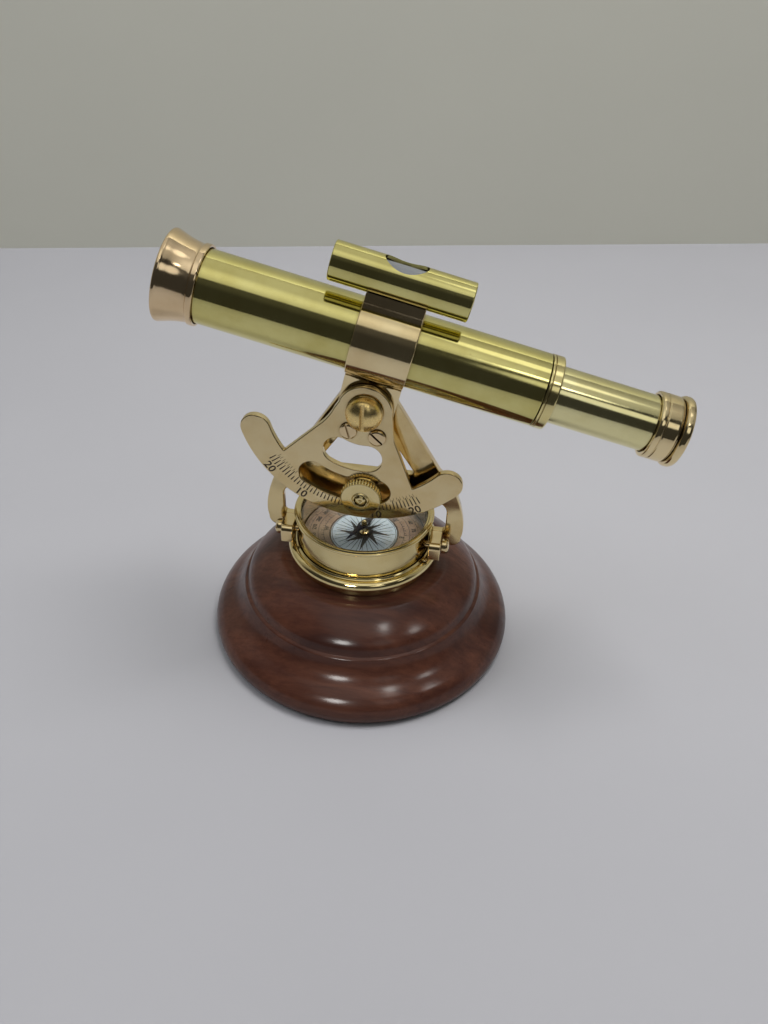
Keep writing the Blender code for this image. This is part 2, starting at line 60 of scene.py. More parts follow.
WORLD = Matrix.Identity(4)
TILTED = Matrix.Translation(PIVOT) @ Matrix.Rotation(TILT, 4, "Y")
TO_FRONT = Matrix.Rotation(pi / 2, 4, "X")  # local Z to -Y, local Y up
TO_BACK = Matrix.Rotation(-pi / 2, 4, "X")
TO_RIGHT = Matrix.Rotation(pi / 2, 4, "Y")  # local Z to +X
TO_LEFT = Matrix.Rotation(-pi / 2, 4, "Y")
ALONG_X = Matrix.Rotation(pi / 2, 4, "Z") @ TO_FRONT  # local X, Y and Z to Y, Z and X


def low(node):
    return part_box(node)[0] / MM


def high(node):
    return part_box(node)[1] / MM


def middle(node):
    return (low(node) + high(node)) / 2


def tilted_middle(node):
    """A node's centre in the telescope's own frame: X along it, Z square to it, from the pivot."""
    return TILTED.inverted() @ middle(node)


def move(x, y, z):
    return Matrix.Translation((x, y, z))


# ---- shapes

def area(loop):
    return 0.5 * sum(a[0] * b[1] - b[0] * a[1] for a, b in zip(loop, loop[1:] + loop[:1]))


def arc(cx, cy, r, start, end, count):
    turn = (radians(start + (end - start) * k / count) for k in range(count + 1))
    return [(cx + r * cos(t), cy + r * sin(t)) for t in turn]


def circle(cx, cy, r, count=48):
    return arc(cx, cy, r, 0, 360, count)[:-1]


def mirrored(points):
    return points + [(-x, y) for x, y in reversed(points)]


def polar(r, degrees_from_down):
    return (r * sin(radians(degrees_from_down)), -r * cos(radians(degrees_from_down)))


def smoothed(points, parts=5):
    """A Catmull-Rom curve through open points."""
    ends = [points[0]] + points + [points[-1]]
    curve = []
    for p0, p1, p2, p3 in zip(ends, ends[1:], ends[2:], ends[3:]):
        for k in range(parts):
            t = k / parts
            curve.append(tuple(0.5 * (2 * b + (c - a) * t + (2 * a - 5 * b + 4 * c - d) * t * t
                                      + (3 * b - a - 3 * c + d) * t ** 3)
                               for a, b, c, d in zip(p0, p1, p2, p3)))
    return curve + [points[-1]]


def softened(loop, radius, sharpest=14, parts=3, axis=False):
    """A closed loop with each corner sharper than `sharpest` degrees rounded; points on the axis stay."""
    made = []
    for before, here, after in zip(loop[-1:] + loop[:-1], loop, loop[1:] + loop[:1]):
        a, b, c = Vector(before), Vector(here), Vector(after)
        first, second = a - b, c - b
        if first.length < 1e-6 or second.length < 1e-6:
            continue
        turn = pi - first.angle(second)
        if turn < radians(sharpest) or (axis and here[0] < 1e-6):
            made.append(here)
            continue
        reach = min(radius, first.length * 0.45, second.length * 0.45)
        start, end = b + first.normalized() * reach, b + second.normalized() * reach
        for k in range(parts + 1):
            t = k / parts
            p = start * (1 - t) ** 2 + b * 2 * t * (1 - t) + end * t * t
            made.append((p.x, p.y))
    return made


def turned(profile, steps=128, teeth=0, depth=0.0, cut=(), bm=None):
    """Revolves a closed (radius, height) profile about Z. `cut` says which rings get teeth of the given
    depth: those between two heights and outside a radius."""
    bm = bmesh.new() if bm is None else bm
    rings = []
    for r, z in profile:
        if r < 1e-6:
            rings.append([bm.verts.new((0, 0, z))])
            continue
        toothed = teeth and cut[0] <= z <= cut[1] and r > cut[2]
        ring = []
        for k in range(steps):
            t = 2 * pi * k / steps
            rr = r - depth * (abs(sin(t * teeth / 2)) ** 0.7 if toothed else 0.0)
            ring.append(bm.verts.new((rr * cos(t), rr * sin(t), z)))
        rings.append(ring)
    for lower, upper in zip(rings, rings[1:] + rings[:1]):
        if len(lower) == 1 and len(upper) == 1:
            continue
        for k in range(steps):
            n = (k + 1) % steps
            if len(lower) == 1:
                bm.faces.new((lower[0], upper[k], upper[n]))
            elif len(upper) == 1:
                bm.faces.new((lower[k], upper[0], lower[n]))
            else:
                bm.faces.new((lower[k], upper[k], upper[n], lower[n]))
    return bm


def inset(loop, distance):
    """A closed loop with its sides moved inwards."""
    moved = []
    for before, here, after in zip(loop[-1:] + loop[:-1], loop, loop[1:] + loop[:1]):
        ax, ay = here[0] - before[0], here[1] - before[1]
        bx, by = after[0] - here[0], after[1] - here[1]
        la, lb = hypot(ax, ay), hypot(bx, by)
        n1 = (ay / la, -ax / la)
        n2 = (by / lb, -bx / lb)
        scale = distance / max(0.35, 1 + n1[0] * n2[0] + n1[1] * n2[1])
        moved.append((here[0] - (n1[0] + n2[0]) * scale, here[1] - (n1[1] + n2[1]) * scale))
    return moved


def plate(outline, holes, z0, z1, edge=0.3, parts=3):
    """A flat plate with holes, its edges rounded over by `edge`."""
    loops = [outline if area(outline) > 0 else outline[::-1]]
    loops += [hole if area(hole) < 0 else hole[::-1] for hole in holes]
    turn = [radians(90 * k / parts) for k in range(parts + 1)]
    curl = [(edge * (1 - sin(t)), edge * (1 - cos(t))) for t in turn]
    layers = [(z0 + up, shrink) for shrink, up in curl] + [(z1 - up, shrink) for shrink, up in reversed(curl)]
    bm = bmesh.new()
    made = []
    for z, shrink in layers if edge else [(z0, 0.0), (z1, 0.0)]:
        made.append([[bm.verts.new((x, y, z)) for x, y in inset(loop, shrink)] for loop in loops])
    for lower, upper in zip(made, made[1:]):
        for ring_low, ring_high in zip(lower, upper):
            count = len(ring_low)
            for k in range(count):
                n = (k + 1) % count
                bm.faces.new((ring_low[k], ring_low[n], ring_high[n], ring_high[k]))
    for layer in (made[0], made[-1]):
        verts = [v for ring in layer for v in ring]
        flat = [[Vector((v.co.x, v.co.y, 0)) for v in ring] for ring in layer]
        for a, b, c in tessellate_polygon(flat):
            bm.faces.new((verts[a], verts[b], verts[c]))
    return bm


def add_object(name, data):
    thing = bpy.data.objects.new(name, data)
    bpy.context.scene.collection.objects.link(thing)
    return thing


def mesh_from(name, bm):
    mesh = bpy.data.meshes.new(name)
    bm.to_mesh(mesh)
    bm.free()
    return mesh


def evaluated_mesh(thing):
    """A new mesh of a thing with its modifiers or its letters worked out."""
    bpy.context.view_layer.update()
    return bpy.data.meshes.new_from_object(thing.evaluated_get(bpy.context.evaluated_depsgraph_get()))


def object_from(name, bm, place=WORLD):
    """A bmesh in millimetres as an object in metres; `place` is in millimetres."""
    bmesh.ops.scale(bm, vec=(MM, MM, MM), verts=bm.verts)
    bmesh.ops.recalc_face_normals(bm, faces=bm.faces)
    thing = add_object(name, mesh_from(name, bm))
    at = place.copy()
    at.translation = at.translation * MM
    thing.matrix_world = at
    return thing


def lathed(name, profile, place=WORLD, steps=160, soft=0.12):
    """A turned object whose corners are softened, apart from those on its axis."""
    return object_from(name, turned(softened(profile, soft, axis=True), steps), place)


def subtract(thing, tool):
    """Cuts the tool out of a thing with an exact Boolean, and removes the tool."""
    step = thing.modifiers.new("cut", "BOOLEAN")
    step.operation = "DIFFERENCE"
    step.solver = "EXACT"
    step.object = tool
    mesh = evaluated_mesh(thing)
    old = thing.data
    thing.modifiers.clear()
    thing.data = mesh
    bpy.data.meshes.remove(old)
    bpy.data.objects.remove(tool, do_unlink=True)


def drill(thing, r, z0, z1, place, steps=40):
    subtract(thing, object_from("tool", turned([(0, z0), (r, z0), (r, z1), (0, z1)], steps), place))


def driver_slot(thing, place, width, deep, top, reach, turn=0.0):
    """Cuts a screwdriver slot into a head whose top is at height `top`."""
    half = width / 2
    corners = [(-half, -reach), (half, -reach), (half, reach), (-half, reach)]
    tool = plate(corners, [], top - deep, top + 1, edge=0)
    subtract(thing, object_from("tool", tool, place @ Matrix.Rotation(turn, 4, "Z")))


def piece(thing, look, body, slot, *nodes, smooth=34, bevel=0.0):
    """Shades a finished object, gives it its material and body, and hides the CAD nodes it stands for."""
    for face in thing.data.polygons:
        face.use_smooth = True
    thing.data.set_sharp_from_angle(angle=radians(smooth))
    if bevel:
        step = thing.modifiers.new("edges", "BEVEL")
        step.width = bevel * MM
        step.segments = 2
        step.limit_method = "ANGLE"
        step.angle_limit = radians(40)
        step.harden_normals = True
    weighted = thing.modifiers.new("normals", "WEIGHTED_NORMAL")
    weighted.keep_sharp = True
    thing.data.materials.clear()
    thing.data.materials.append(look)
    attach(thing, body)
    if nodes:
        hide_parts(*nodes)
    return thing


# ---- materials

class Nodes:
    """Short ways to add procedural nodes to a node tree."""

    def __init__(self, tree):
        self.tree = tree

    def add(self, kind, **values):
        node = self.tree.nodes.new(kind)
        for key, value in values.items():
            setattr(node, key, value)
        return node

    def link(self, source, target):
        self.tree.links.new(source, target)

    def span(self, value, a, b, c=0.0, d=1.0, curve="LINEAR"):
        node = self.add("ShaderNodeMapRange", interpolation_type=curve)
        for key, number in (("From Min", a), ("From Max", b), ("To Min", c), ("To Max", d)):
            node.inputs[key].default_value = number
        self.link(value, node.inputs["Value"])
        return node.outputs["Result"]

    def maths(self, kind, *values):
        node = self.add("ShaderNodeMath", operation=kind)
        for socket, value in zip(node.inputs, values):
            if isinstance(value, (int, float)):
                socket.default_value = value
            else:
                self.link(value, socket)
        return node.outputs[0]


class Look(Nodes):
    """A Principled material."""

    def __init__(self, name):
        self.material = bpy.data.materials.new(name)
        self.material.use_nodes = True
        super().__init__(self.material.node_tree)
        self.shader = self.tree.nodes["Principled BSDF"]
        self.coords = self.add("ShaderNodeTexCoord").outputs["Object"]

    def set(self, **values):
        for key, value in values.items():
            self.shader.inputs[key.replace("_", " ")].default_value = value

    def noise(self, scale, detail=4.0, rough=0.55, stretch=(1, 1, 1), distortion=0.0, seed=0.0):
        mapping = self.add("ShaderNodeMapping")
        mapping.inputs["Scale"].default_value = stretch
        mapping.inputs["Location"].default_value = (seed, seed * 0.7, seed * 1.3)
        node = self.add("ShaderNodeTexNoise")
        node.inputs["Scale"].default_value = scale
        node.inputs["Detail"].default_value = detail
        node.inputs["Roughness"].default_value = rough
        node.inputs["Distortion"].default_value = distortion
        self.link(self.coords, mapping.inputs["Vector"])
        self.link(mapping.outputs["Vector"], node.inputs["Vector"])
        return node.outputs["Fac"]

    def mix(self, factor, a, b):
        """Colour mix; each side is a colour or a socket."""
        node = self.add("ShaderNodeMix", data_type="RGBA")
        self.link(factor, node.inputs[0])
        for socket, value in ((node.inputs[6], a), (node.inputs[7], b)):
            if isinstance(value, tuple):
                socket.default_value = (*value, 1.0)
            else:
                self.link(value, socket)
        return node.outputs[2]

    def bump(self, height, strength, distance, under=None):
        node = self.add("ShaderNodeBump")
        node.inputs["Strength"].default_value = strength
        node.inputs["Distance"].default_value = distance
        self.link(height, node.inputs["Height"])
        if under is not None:
            self.link(under, node.inputs["Normal"])
        return node.outputs["Normal"]

    def colour(self, socket):
        self.link(socket, self.shader.inputs["Base Color"])

    def roughness(self, socket):
        self.link(socket, self.shader.inputs["Roughness"])

    def normal(self, socket):
        self.link(socket, self.shader.inputs["Normal"])


def metal(name, bright, dull, rough, lathe=False, seed=0.0, wave=None, lean=0.0, lean_above=None):
    """Polished metal: tarnish clouds, darker spots, wiping scratches, dirt with painted shade in its corners,
    and a soft waviness.
    `lean` tips its reflections up or down, and `lean_above` limits that to what lies above two heights."""
    look = Look(name)
    look.set(Metallic=1.0)
    clouds = look.span(look.noise(70, 5, 0.6, seed=seed), 0.40, 0.68)
    spots = look.span(look.noise(900, 3, 0.6, seed=seed + 3), 0.66, 0.78)
    colour = look.mix(clouds, bright, dull)
    worn = tuple(0.62 * v for v in dull)
    colour = look.mix(look.maths("MULTIPLY", spots, 0.45), colour, worn)
    # painted shade as well as dirt: ambient occlusion darkens corners, slots and crevices towards a dark
    # brown
    shade = look.add("ShaderNodeAmbientOcclusion")
    shade.samples = 4
    shade.inputs["Distance"].default_value = 0.0012
    dirt_and_painted_shade = look.span(shade.outputs["AO"], 0.35, 0.85, 0.75, 0.0)
    colour = look.mix(dirt_and_painted_shade, colour, (0.17, 0.095, 0.038))
    look.colour(colour)
    fine = look.noise(1400, 6, 0.7, stretch=(1, 1, 16 if lathe else 0.06), seed=seed + 7)
    smear = look.noise(240, 5, 0.65, seed=seed + 11)
    patch = look.maths("ADD", look.span(smear, 0.35, 0.75, -0.02, 0.05),
                       look.span(fine, 0.3, 0.75, -0.02, 0.05))
    look.roughness(look.maths("ADD", patch, rough))
    under = None
    if lean:
        tipped = look.add("ShaderNodeVectorMath", operation="ADD")
        look.link(look.add("ShaderNodeNewGeometry").outputs["Normal"], tipped.inputs[0])
        if lean_above is None:
            tipped.inputs[1].default_value = (0, 0, lean)
        else:
            height = look.add("ShaderNodeSeparateXYZ")
            look.link(look.coords, height.inputs[0])
            amount = look.add("ShaderNodeCombineXYZ")
            look.link(look.span(height.outputs[1], *lean_above, 0.0, lean), amount.inputs[2])
            look.link(amount.outputs[0], tipped.inputs[1])
        straight = look.add("ShaderNodeVectorMath", operation="NORMALIZE")
        look.link(tipped.outputs[0], straight.inputs[0])
        under = straight.outputs[0]
    wave = wave or (0.12 if lathe else 0.5)
    swell = look.bump(look.noise(55, 2, 0.4, seed=seed + 17), wave, 0.0006, under=under)
    look.normal(look.bump(fine, 0.10, 0.00003, under=swell))
    return look.material


BRASS = metal("polished_brass", (0.80, 0.64, 0.36), (0.70, 0.52, 0.24), 0.11, seed=1.0)
FRAME_BRASS = metal("frame_brass", (0.80, 0.65, 0.35), (0.68, 0.51, 0.24), 0.12, seed=3.0, lean=-0.15,
                    lean_above=(0.056, 0.062))
SECTOR_BRASS = metal("sector_brass", (0.82, 0.67, 0.38), (0.72, 0.55, 0.27), 0.14, seed=23.0, lean=0.145)
BRASS_TURNED = metal("turned_brass", (0.81, 0.68, 0.35), (0.71, 0.56, 0.25), 0.08, lathe=True, seed=5.0)
YELLOW = metal("yellow_brass_tube", (0.73, 0.67, 0.27), (0.64, 0.57, 0.20), 0.065, lathe=True, seed=9.0)
BRONZE = metal("pink_bronze", (0.85, 0.66, 0.41), (0.74, 0.55, 0.32), 0.075, lathe=True, seed=14.0)
BAND_METAL = metal("pale_bronze_band", (0.86, 0.71, 0.41), (0.76, 0.60, 0.32), 0.065, lathe=True, seed=16.0)
BALL_BRASS = metal("ball_brass", (0.92, 0.70, 0.30), (0.78, 0.55, 0.20), 0.26, seed=27.0, wave=0.2)
DRAW_BRASS = metal("draw_tube_brass", (0.84, 0.78, 0.42), (0.75, 0.68, 0.33), 0.09, lathe=True, seed=41.0)
COLLAR_BRASS = metal("collar_brass", (0.84, 0.74, 0.36), (0.74, 0.62, 0.26), 0.10, lathe=True, seed=31.0,
                     wave=0.1)
BRONZE_FLAT = metal("pink_bronze_plate", (0.82, 0.66, 0.40), (0.70, 0.53, 0.30), 0.13, seed=19.0)


def wood_look():
    look = Look("varnished_hardwood")
    broad = look.noise(9, 4, 0.6, stretch=(1, 6, 6), distortion=0.9, seed=2.0)
    grain = look.noise(38, 8, 0.72, stretch=(1, 13, 13), distortion=0.35, seed=4.0)
    pores = look.noise(160, 6, 0.8, stretch=(1, 16, 16), seed=8.0)
    colour = look.mix(look.span(broad, 0.32, 0.68), (0.030, 0.011, 0.008), (0.085, 0.032, 0.019))
    colour = look.mix(look.span(grain, 0.42, 0.66, 0.0, 0.55), colour, (0.026, 0.009, 0.007))
    colour = look.mix(look.span(pores, 0.60, 0.74, 0.0, 0.55), colour, (0.012, 0.006, 0.005))
    look.colour(colour)
    look.roughness(look.span(look.noise(120, 5, 0.6, seed=12.0), 0.3, 0.7, 0.26, 0.42))
    low_swell = look.bump(look.noise(70, 3, 0.5, seed=15.0), 0.5, 0.0007)
    grooves = look.bump(grain, 0.22, 0.00012, under=low_swell)
    look.normal(look.bump(pores, 0.35, 0.00008, under=grooves))
    look.set(Coat_Weight=0.60, Coat_Roughness=0.17, Coat_IOR=1.45, Specular_IOR_Level=0.05)
    return look.material


def paper_look(name, ground, stain, fibre):
    look = Look(name)
    clouds = look.span(look.noise(140, 6, 0.65, seed=3.0), 0.35, 0.70)
    fibres = look.noise(2600, 4, 0.7, stretch=(1, 0.25, 1), seed=6.0)
    colour = look.mix(clouds, ground, stain)
    look.colour(look.mix(look.span(fibres, 0.55, 0.75, 0.0, 0.5), colour, fibre))
    look.roughness(look.span(fibres, 0.3, 0.7, 0.55, 0.80))
    look.normal(look.bump(fibres, 0.3, 0.00004))
    return look.material


def ink_look(name, colour, worn):
    look = Look(name)
    patches = look.span(look.noise(1800, 5, 0.7, seed=5.0), 0.45, 0.72, 0.0, 0.8)
    look.colour(look.mix(patches, colour, worn))
    look.roughness(look.span(look.noise(900, 4, 0.6, seed=9.0), 0.3, 0.7, 0.40, 0.70))
    look.normal(look.bump(look.noise(3000, 3, 0.6, seed=2.0), 0.2, 0.00002))
    return look.material


def steel_look():
    look = Look("blued_steel")
    look.set(Metallic=1.0)
    heat = look.span(look.noise(260, 4, 0.6, seed=4.0), 0.35, 0.7)
    look.colour(look.mix(heat, (0.020, 0.024, 0.045), (0.055, 0.045, 0.050)))
    look.roughness(look.span(look.noise(900, 5, 0.6, seed=6.0), 0.3, 0.7, 0.22, 0.38))
    look.normal(look.bump(look.noise(2200, 4, 0.6, stretch=(0.1, 1, 1), seed=8.0), 0.2, 0.00003))
    return look.material


def glass_look(name, tint, rough=0.0, clear=1.0):
    """Clear glass with faint smears that lets lamps through."""
    look = Look(name)
    look.set(Transmission_Weight=clear, IOR=1.47, Metallic=0.0)
    smear = look.noise(120, 5, 0.65, seed=3.0)
    look.colour(look.mix(look.span(smear, 0.4, 0.8), tint, tuple(0.93 * v for v in tint)))
    look.roughness(look.span(smear, 0.45, 0.85, rough, rough + 0.05))
    look.normal(look.bump(look.noise(40, 2, 0.4, seed=9.0), 0.05, 0.0002))
    path = look.add("ShaderNodeLightPath")
    through = look.add("ShaderNodeBsdfTransparent")
    through.inputs["Color"].default_value = (*[v ** 0.5 for v in tint], 1.0)
    both = look.add("ShaderNodeMixShader")
    output = look.tree.nodes["Material Output"]
    look.link(path.outputs["Is Shadow Ray"], both.inputs[0])
    look.link(look.shader.outputs[0], both.inputs[1])
    look.link(through.outputs[0], both.inputs[2])
    look.link(both.outputs[0], output.inputs["Surface"])
    return look.material


WOOD = wood_look()
DIAL_PAPER = paper_look("aged_dial_paper", (0.26, 0.180, 0.125), (0.15, 0.100, 0.068), (0.10, 0.068, 0.046))
ROSE_PAPER = paper_look("rose_paper", (0.40, 0.46, 0.50), (0.30, 0.36, 0.41), (0.24, 0.28, 0.33))
INK = ink_look("printing_ink", (0.006, 0.005, 0.005), (0.030, 0.022, 0.016))
ENGRAVED = ink_look("blackened_engraving", (0.020, 0.013, 0.008), (0.11, 0.07, 0.04))
STEEL = steel_look()
GLASS = glass_look("clear_glass", (0.97, 0.985, 0.98))
SPIRIT = glass_look("level_spirit_liquid", (0.86, 0.88, 0.86), 0.05, 0.45)
VIAL_GLASS = glass_look("frosted_vial_glass", (0.20, 0.21, 0.225), 0.08, 0.25)


# ---- stage, light and camera

CAMERA_AT = Vector((38.712, -250.383, 252.623))  # millimetres, from the foot of the object
CAMERA_TURN = (0.66723, 0.12433, 0.04394)  # radians: down, to the left, and about the view
SENSOR = 36.0
LENS = 29.8783  # for the whole height of the picture
LAMPS_AIM = Vector((0, 0, 0.08))  # the middle of the object, in metres


def camera():
    """Stands where the photograph was taken from, over the right of the base, looking down at it."""
    pitch, yaw, roll = CAMERA_TURN
    forward = Vector((-sin(yaw) * cos(pitch), cos(yaw) * cos(pitch), -sin(pitch)))
    level_right = Vector((cos(yaw), sin(yaw), 0))
    level_up = level_right.cross(forward)
    right = cos(roll) * level_right + sin(roll) * level_up
    up = -sin(roll) * level_right + cos(roll) * level_up
    data = bpy.data.cameras.new("camera")
    data.sensor_fit = "VERTICAL"
    data.sensor_width = SENSOR
    data.sensor_height = SENSOR
    data.lens = LENS
    data.clip_start = 0.01
    data.clip_end = 20
    thing = add_object("camera", data)
    matrix = Matrix((right, up, -forward)).transposed().to_4x4()
    matrix.translation = CAMERA_AT * MM
    thing.matrix_world = matrix
    bpy.context.scene.camera = thing


def lamp(name, direction, distance, size, power, tint, shape="SQUARE"):
    """A soft lamp in a direction from the object, facing it."""
    data = bpy.data.lights.new(name, "AREA")
    data.shape = shape
    data.size = size
    data.energy = power
    data.color = tint
    thing = add_object(name, data)
    towards = Vector(direction).normalized()
    thing.location = towards * distance + LAMPS_AIM
    thing.rotation_mode = "QUATERNION"
    thing.rotation_quaternion = towards.to_track_quat("Z", "Y")
    thing.visible_glossy = False
    return thing


def glint(name, direction, size, power, *receivers):
    """A small bright ceiling lamp that shines only on its receivers."""
    thing = lamp(name, direction, 0.9, size, power, (1.0, 0.99, 0.96), "DISK")
    thing.visible_glossy = True
    lit = bpy.data.collections.new(name + "_lit")
    for receiver in receivers:
        lit.objects.link(receiver)
    thing.light_linking.receiver_collection = lit


def stage():
    """A pale floor with a pale wall behind, under two soft lamps."""
    def card(name, corners, tint, dark, rough):
        bm = bmesh.new()
        bm.faces.new([bm.verts.new(c) for c in corners])
        thing = add_object(name, mesh_from(name, bm))
        look = Look(name + "_paint")
        look.colour(look.mix(look.span(look.noise(3, 4, 0.5), 0.3, 0.7), tint, dark))
        look.set(Roughness=rough)
        thing.data.materials.append(look.material)

    # the wall stands a little askew, 0.42 m behind the object, and the floor ends under it
    left, right, front, height = (-1.40, 0.050), (1.90, 0.923), -0.75, 0.85
    card("floor", [(-2.0, front, 0), (2.2, front, 0), (*right, 0), (*left, 0)],
         (0.398, 0.400, 0.436), (0.370, 0.372, 0.406), 0.6)
    card("backdrop", [(*left, 0), (*right, 0), (*right, height), (*left, height)],
         (0.66, 0.66, 0.585), (0.63, 0.63, 0.56), 0.8)
    lamp("overhead", (0.25, 0.15, 0.95), 1.1, 0.55, 11, (1.0, 0.985, 0.95))
    lamp("side", (-0.75, -0.15, 0.65), 1.2, 0.50, 3.0, (0.95, 0.97, 1.0))
    bpy.context.scene.view_settings.view_transform = "Standard"
    bpy.context.scene.view_settings.look = "None"


def room():
    """What the metal mirrors, darker in front than above and behind; the camera sees a plain wall."""
    world = bpy.data.worlds.new("studio")
    bpy.context.scene.world = world
    world.use_nodes = True
    world.node_tree.nodes.clear()
    nodes = Nodes(world.node_tree)
    direction = nodes.add("ShaderNodeTexCoord").outputs["Generated"]
    split = nodes.add("ShaderNodeSeparateXYZ")
    nodes.link(direction, split.inputs[0])
    _, y, z = split.outputs

    def step(value, a, b):
        return nodes.span(value, a, b, curve="SMOOTHSTEP")

    def pool(towards, inner, outer):
        """1 inside a round patch of the sky, 0 outside it; angles in degrees."""
        dot = nodes.add("ShaderNodeVectorMath", operation="DOT_PRODUCT")
        nodes.link(direction, dot.inputs[0])
        dot.inputs[1].default_value = Vector(towards).normalized()
        return step(dot.outputs["Value"], cos(radians(outer)), cos(radians(inner)))

    def shade(colour):
        node = nodes.add("ShaderNodeBackground")
        node.inputs["Color"].default_value = (*colour, 1.0)
        return node

    # brightness of the room: a mid wall, a brighter ceiling, and a dark front below about 50 degrees
    ceiling = step(z, sin(radians(50)), sin(radians(72)))
    before = step(nodes.maths("MULTIPLY", y, -1.0), -0.05, 0.30)
    below = step(nodes.maths("MULTIPLY", z, -1.0), -0.79, -0.75)
    front = nodes.maths("MULTIPLY", before, below)
    amount = nodes.maths("MULTIPLY_ADD", ceiling, 0.28, 0.30)
    amount = nodes.maths("MULTIPLY_ADD", pool((0.0, -0.53, 0.85), 12, 32), 0.30, amount)
    left_over = nodes.maths("SUBTRACT", 1.0, nodes.maths("MULTIPLY", front, 0.88))
    amount = nodes.maths("MULTIPLY", amount, left_over)
    for towards, inner, outer, power in (((0.36, 0.04, 0.93), 5, 9, 0.8), ((0.40, -0.70, 0.58), 6, 11, 0.8),
                                         ((0.73, -0.26, 0.63), 3, 6, 1.2), ((0.36, -0.48, 0.80), 2, 4, 3.0)):
        amount = nodes.maths("MULTIPLY_ADD", pool(towards, inner, outer), power, amount)
    seen = shade((0.46, 0.455, 0.40))
    seen.inputs["Strength"].default_value = 0.86
    lit = shade((1.0, 0.99, 0.95))
    nodes.link(amount, lit.inputs["Strength"])
    both = nodes.add("ShaderNodeMixShader")
    nodes.link(nodes.add("ShaderNodeLightPath").outputs["Is Camera Ray"], both.inputs[0])
    nodes.link(lit.outputs[0], both.inputs[1])
    nodes.link(seen.outputs[0], both.inputs[2])
    nodes.link(both.outputs[0], nodes.add("ShaderNodeOutputWorld").inputs[0])


# ---- wooden base and compass

BASE_R, _, BASE_H = high("wooden_base")
RING_R, _, RING_TOP = high("compass_base_ring")
RING_LOW = low("compass_base_ring").z
WALL_R, _, WALL_TOP = high("compass_housing")
BEZEL_R, _, BEZEL_TOP = high("compass_bezel")
GLASS_R, GLASS_LOW = high("compass_glass").x, low("compass_glass").z
DIAL_R, _, DIAL_TOP = high("compass_dial_ring")
DIAL_LOW = low("compass_dial_ring").z
ROSE_R = high("compass_rose_plate").x
PIVOT_BORE = 2.8  # radii of the holes for the fixings
STUD_BORE = 2.3
SCREW_BORE = 1.6
FOOT_BORE = 1.5


def wooden_base():
    """Broad round rim, cove up to a sharp arris, then a round shoulder to the flat top."""
    drawn_r, drawn_h = 59.3, 34.5  # the size at which the profiles were drawn
    foot = smoothed([(55.8, 0), (57.6, 0.5), (58.8, 1.7), (59.3, 3.7), (59.0, 5.9), (58.0, 8.2),
                     (56.3, 10.3), (54.2, 12.0), (52.0, 13.6), (50.0, 15.5), (48.4, 17.8), (47.3, 20.2),
                     (46.9, 21.3)])
    knee = [(46.62, 21.62), (46.25, 21.78)]
    shoulder = smoothed([(45.75, 22.0), (45.45, 22.9), (44.7, 25.1), (43.3, 27.0), (40.9, 29.2),
                         (37.8, 31.6), (34.9, 33.4), (33.3, 34.2), (31.5, 34.5)])
    profile = [(0, 0), (40, 0)] + [(min(r, drawn_r), max(z, 0)) for r, z in foot] + knee
    profile += [(r, min(z + BASE_H - drawn_h, BASE_H)) for r, z in shoulder]
    profile = [(r * BASE_R / drawn_r, z) for r, z in profile] + [(0, BASE_H)]
    wood = object_from("wooden_base_turned", turned(profile, 200))
    return piece(wood, WOOD, "stand", "wood", "wooden_base", smooth=50)


def compass_ring():
    """The beaded ring with a small screw in front and one behind."""
    bead = [(RING_R - 2.15 + 2.15 * cos(t), RING_TOP - 2.7 + 2.25 * sin(t))
            for t in (radians(k) for k in range(-84, 99, 7))]
    cove = [(RING_R - 2.75, RING_TOP - 0.62), (RING_R - 3.2, RING_TOP - 0.18), (RING_R - 3.35, RING_TOP)]
    profile = [(WALL_R + GAP, RING_LOW), (RING_R - 2.0, RING_LOW), (RING_R - 2.0, RING_TOP - 5.0)]
    profile += bead + cove + [(WALL_R + GAP, RING_TOP)]
    ring = lathed("compass_ring_beaded", profile, steps=192)
    for node in ("ring_screw_front", "ring_screw_rear"):
        centre = middle(node)
        spot = move(centre.x, centre.y, RING_TOP + 0.2)
        drill(ring, 0.9, -2.1, 2.0, spot, 24)
        head = [(0, -1.9), (0.6, -1.9), (0.6, 0), (1.1, 0.05), (1.1, 0.25), (0.9, 0.5), (0.5, 0.58), (0, 0.6)]
        screw = lathed(node + "_head", head, spot, 32, 0.06)
        driver_slot(screw, spot, 0.34, 0.72, 1.0, 2, 0.6)
        piece(screw, BRASS, "stand", "brass_pale", node)
    return piece(ring, BRASS_TURNED, "stand", "brass_pale", "compass_base_ring")


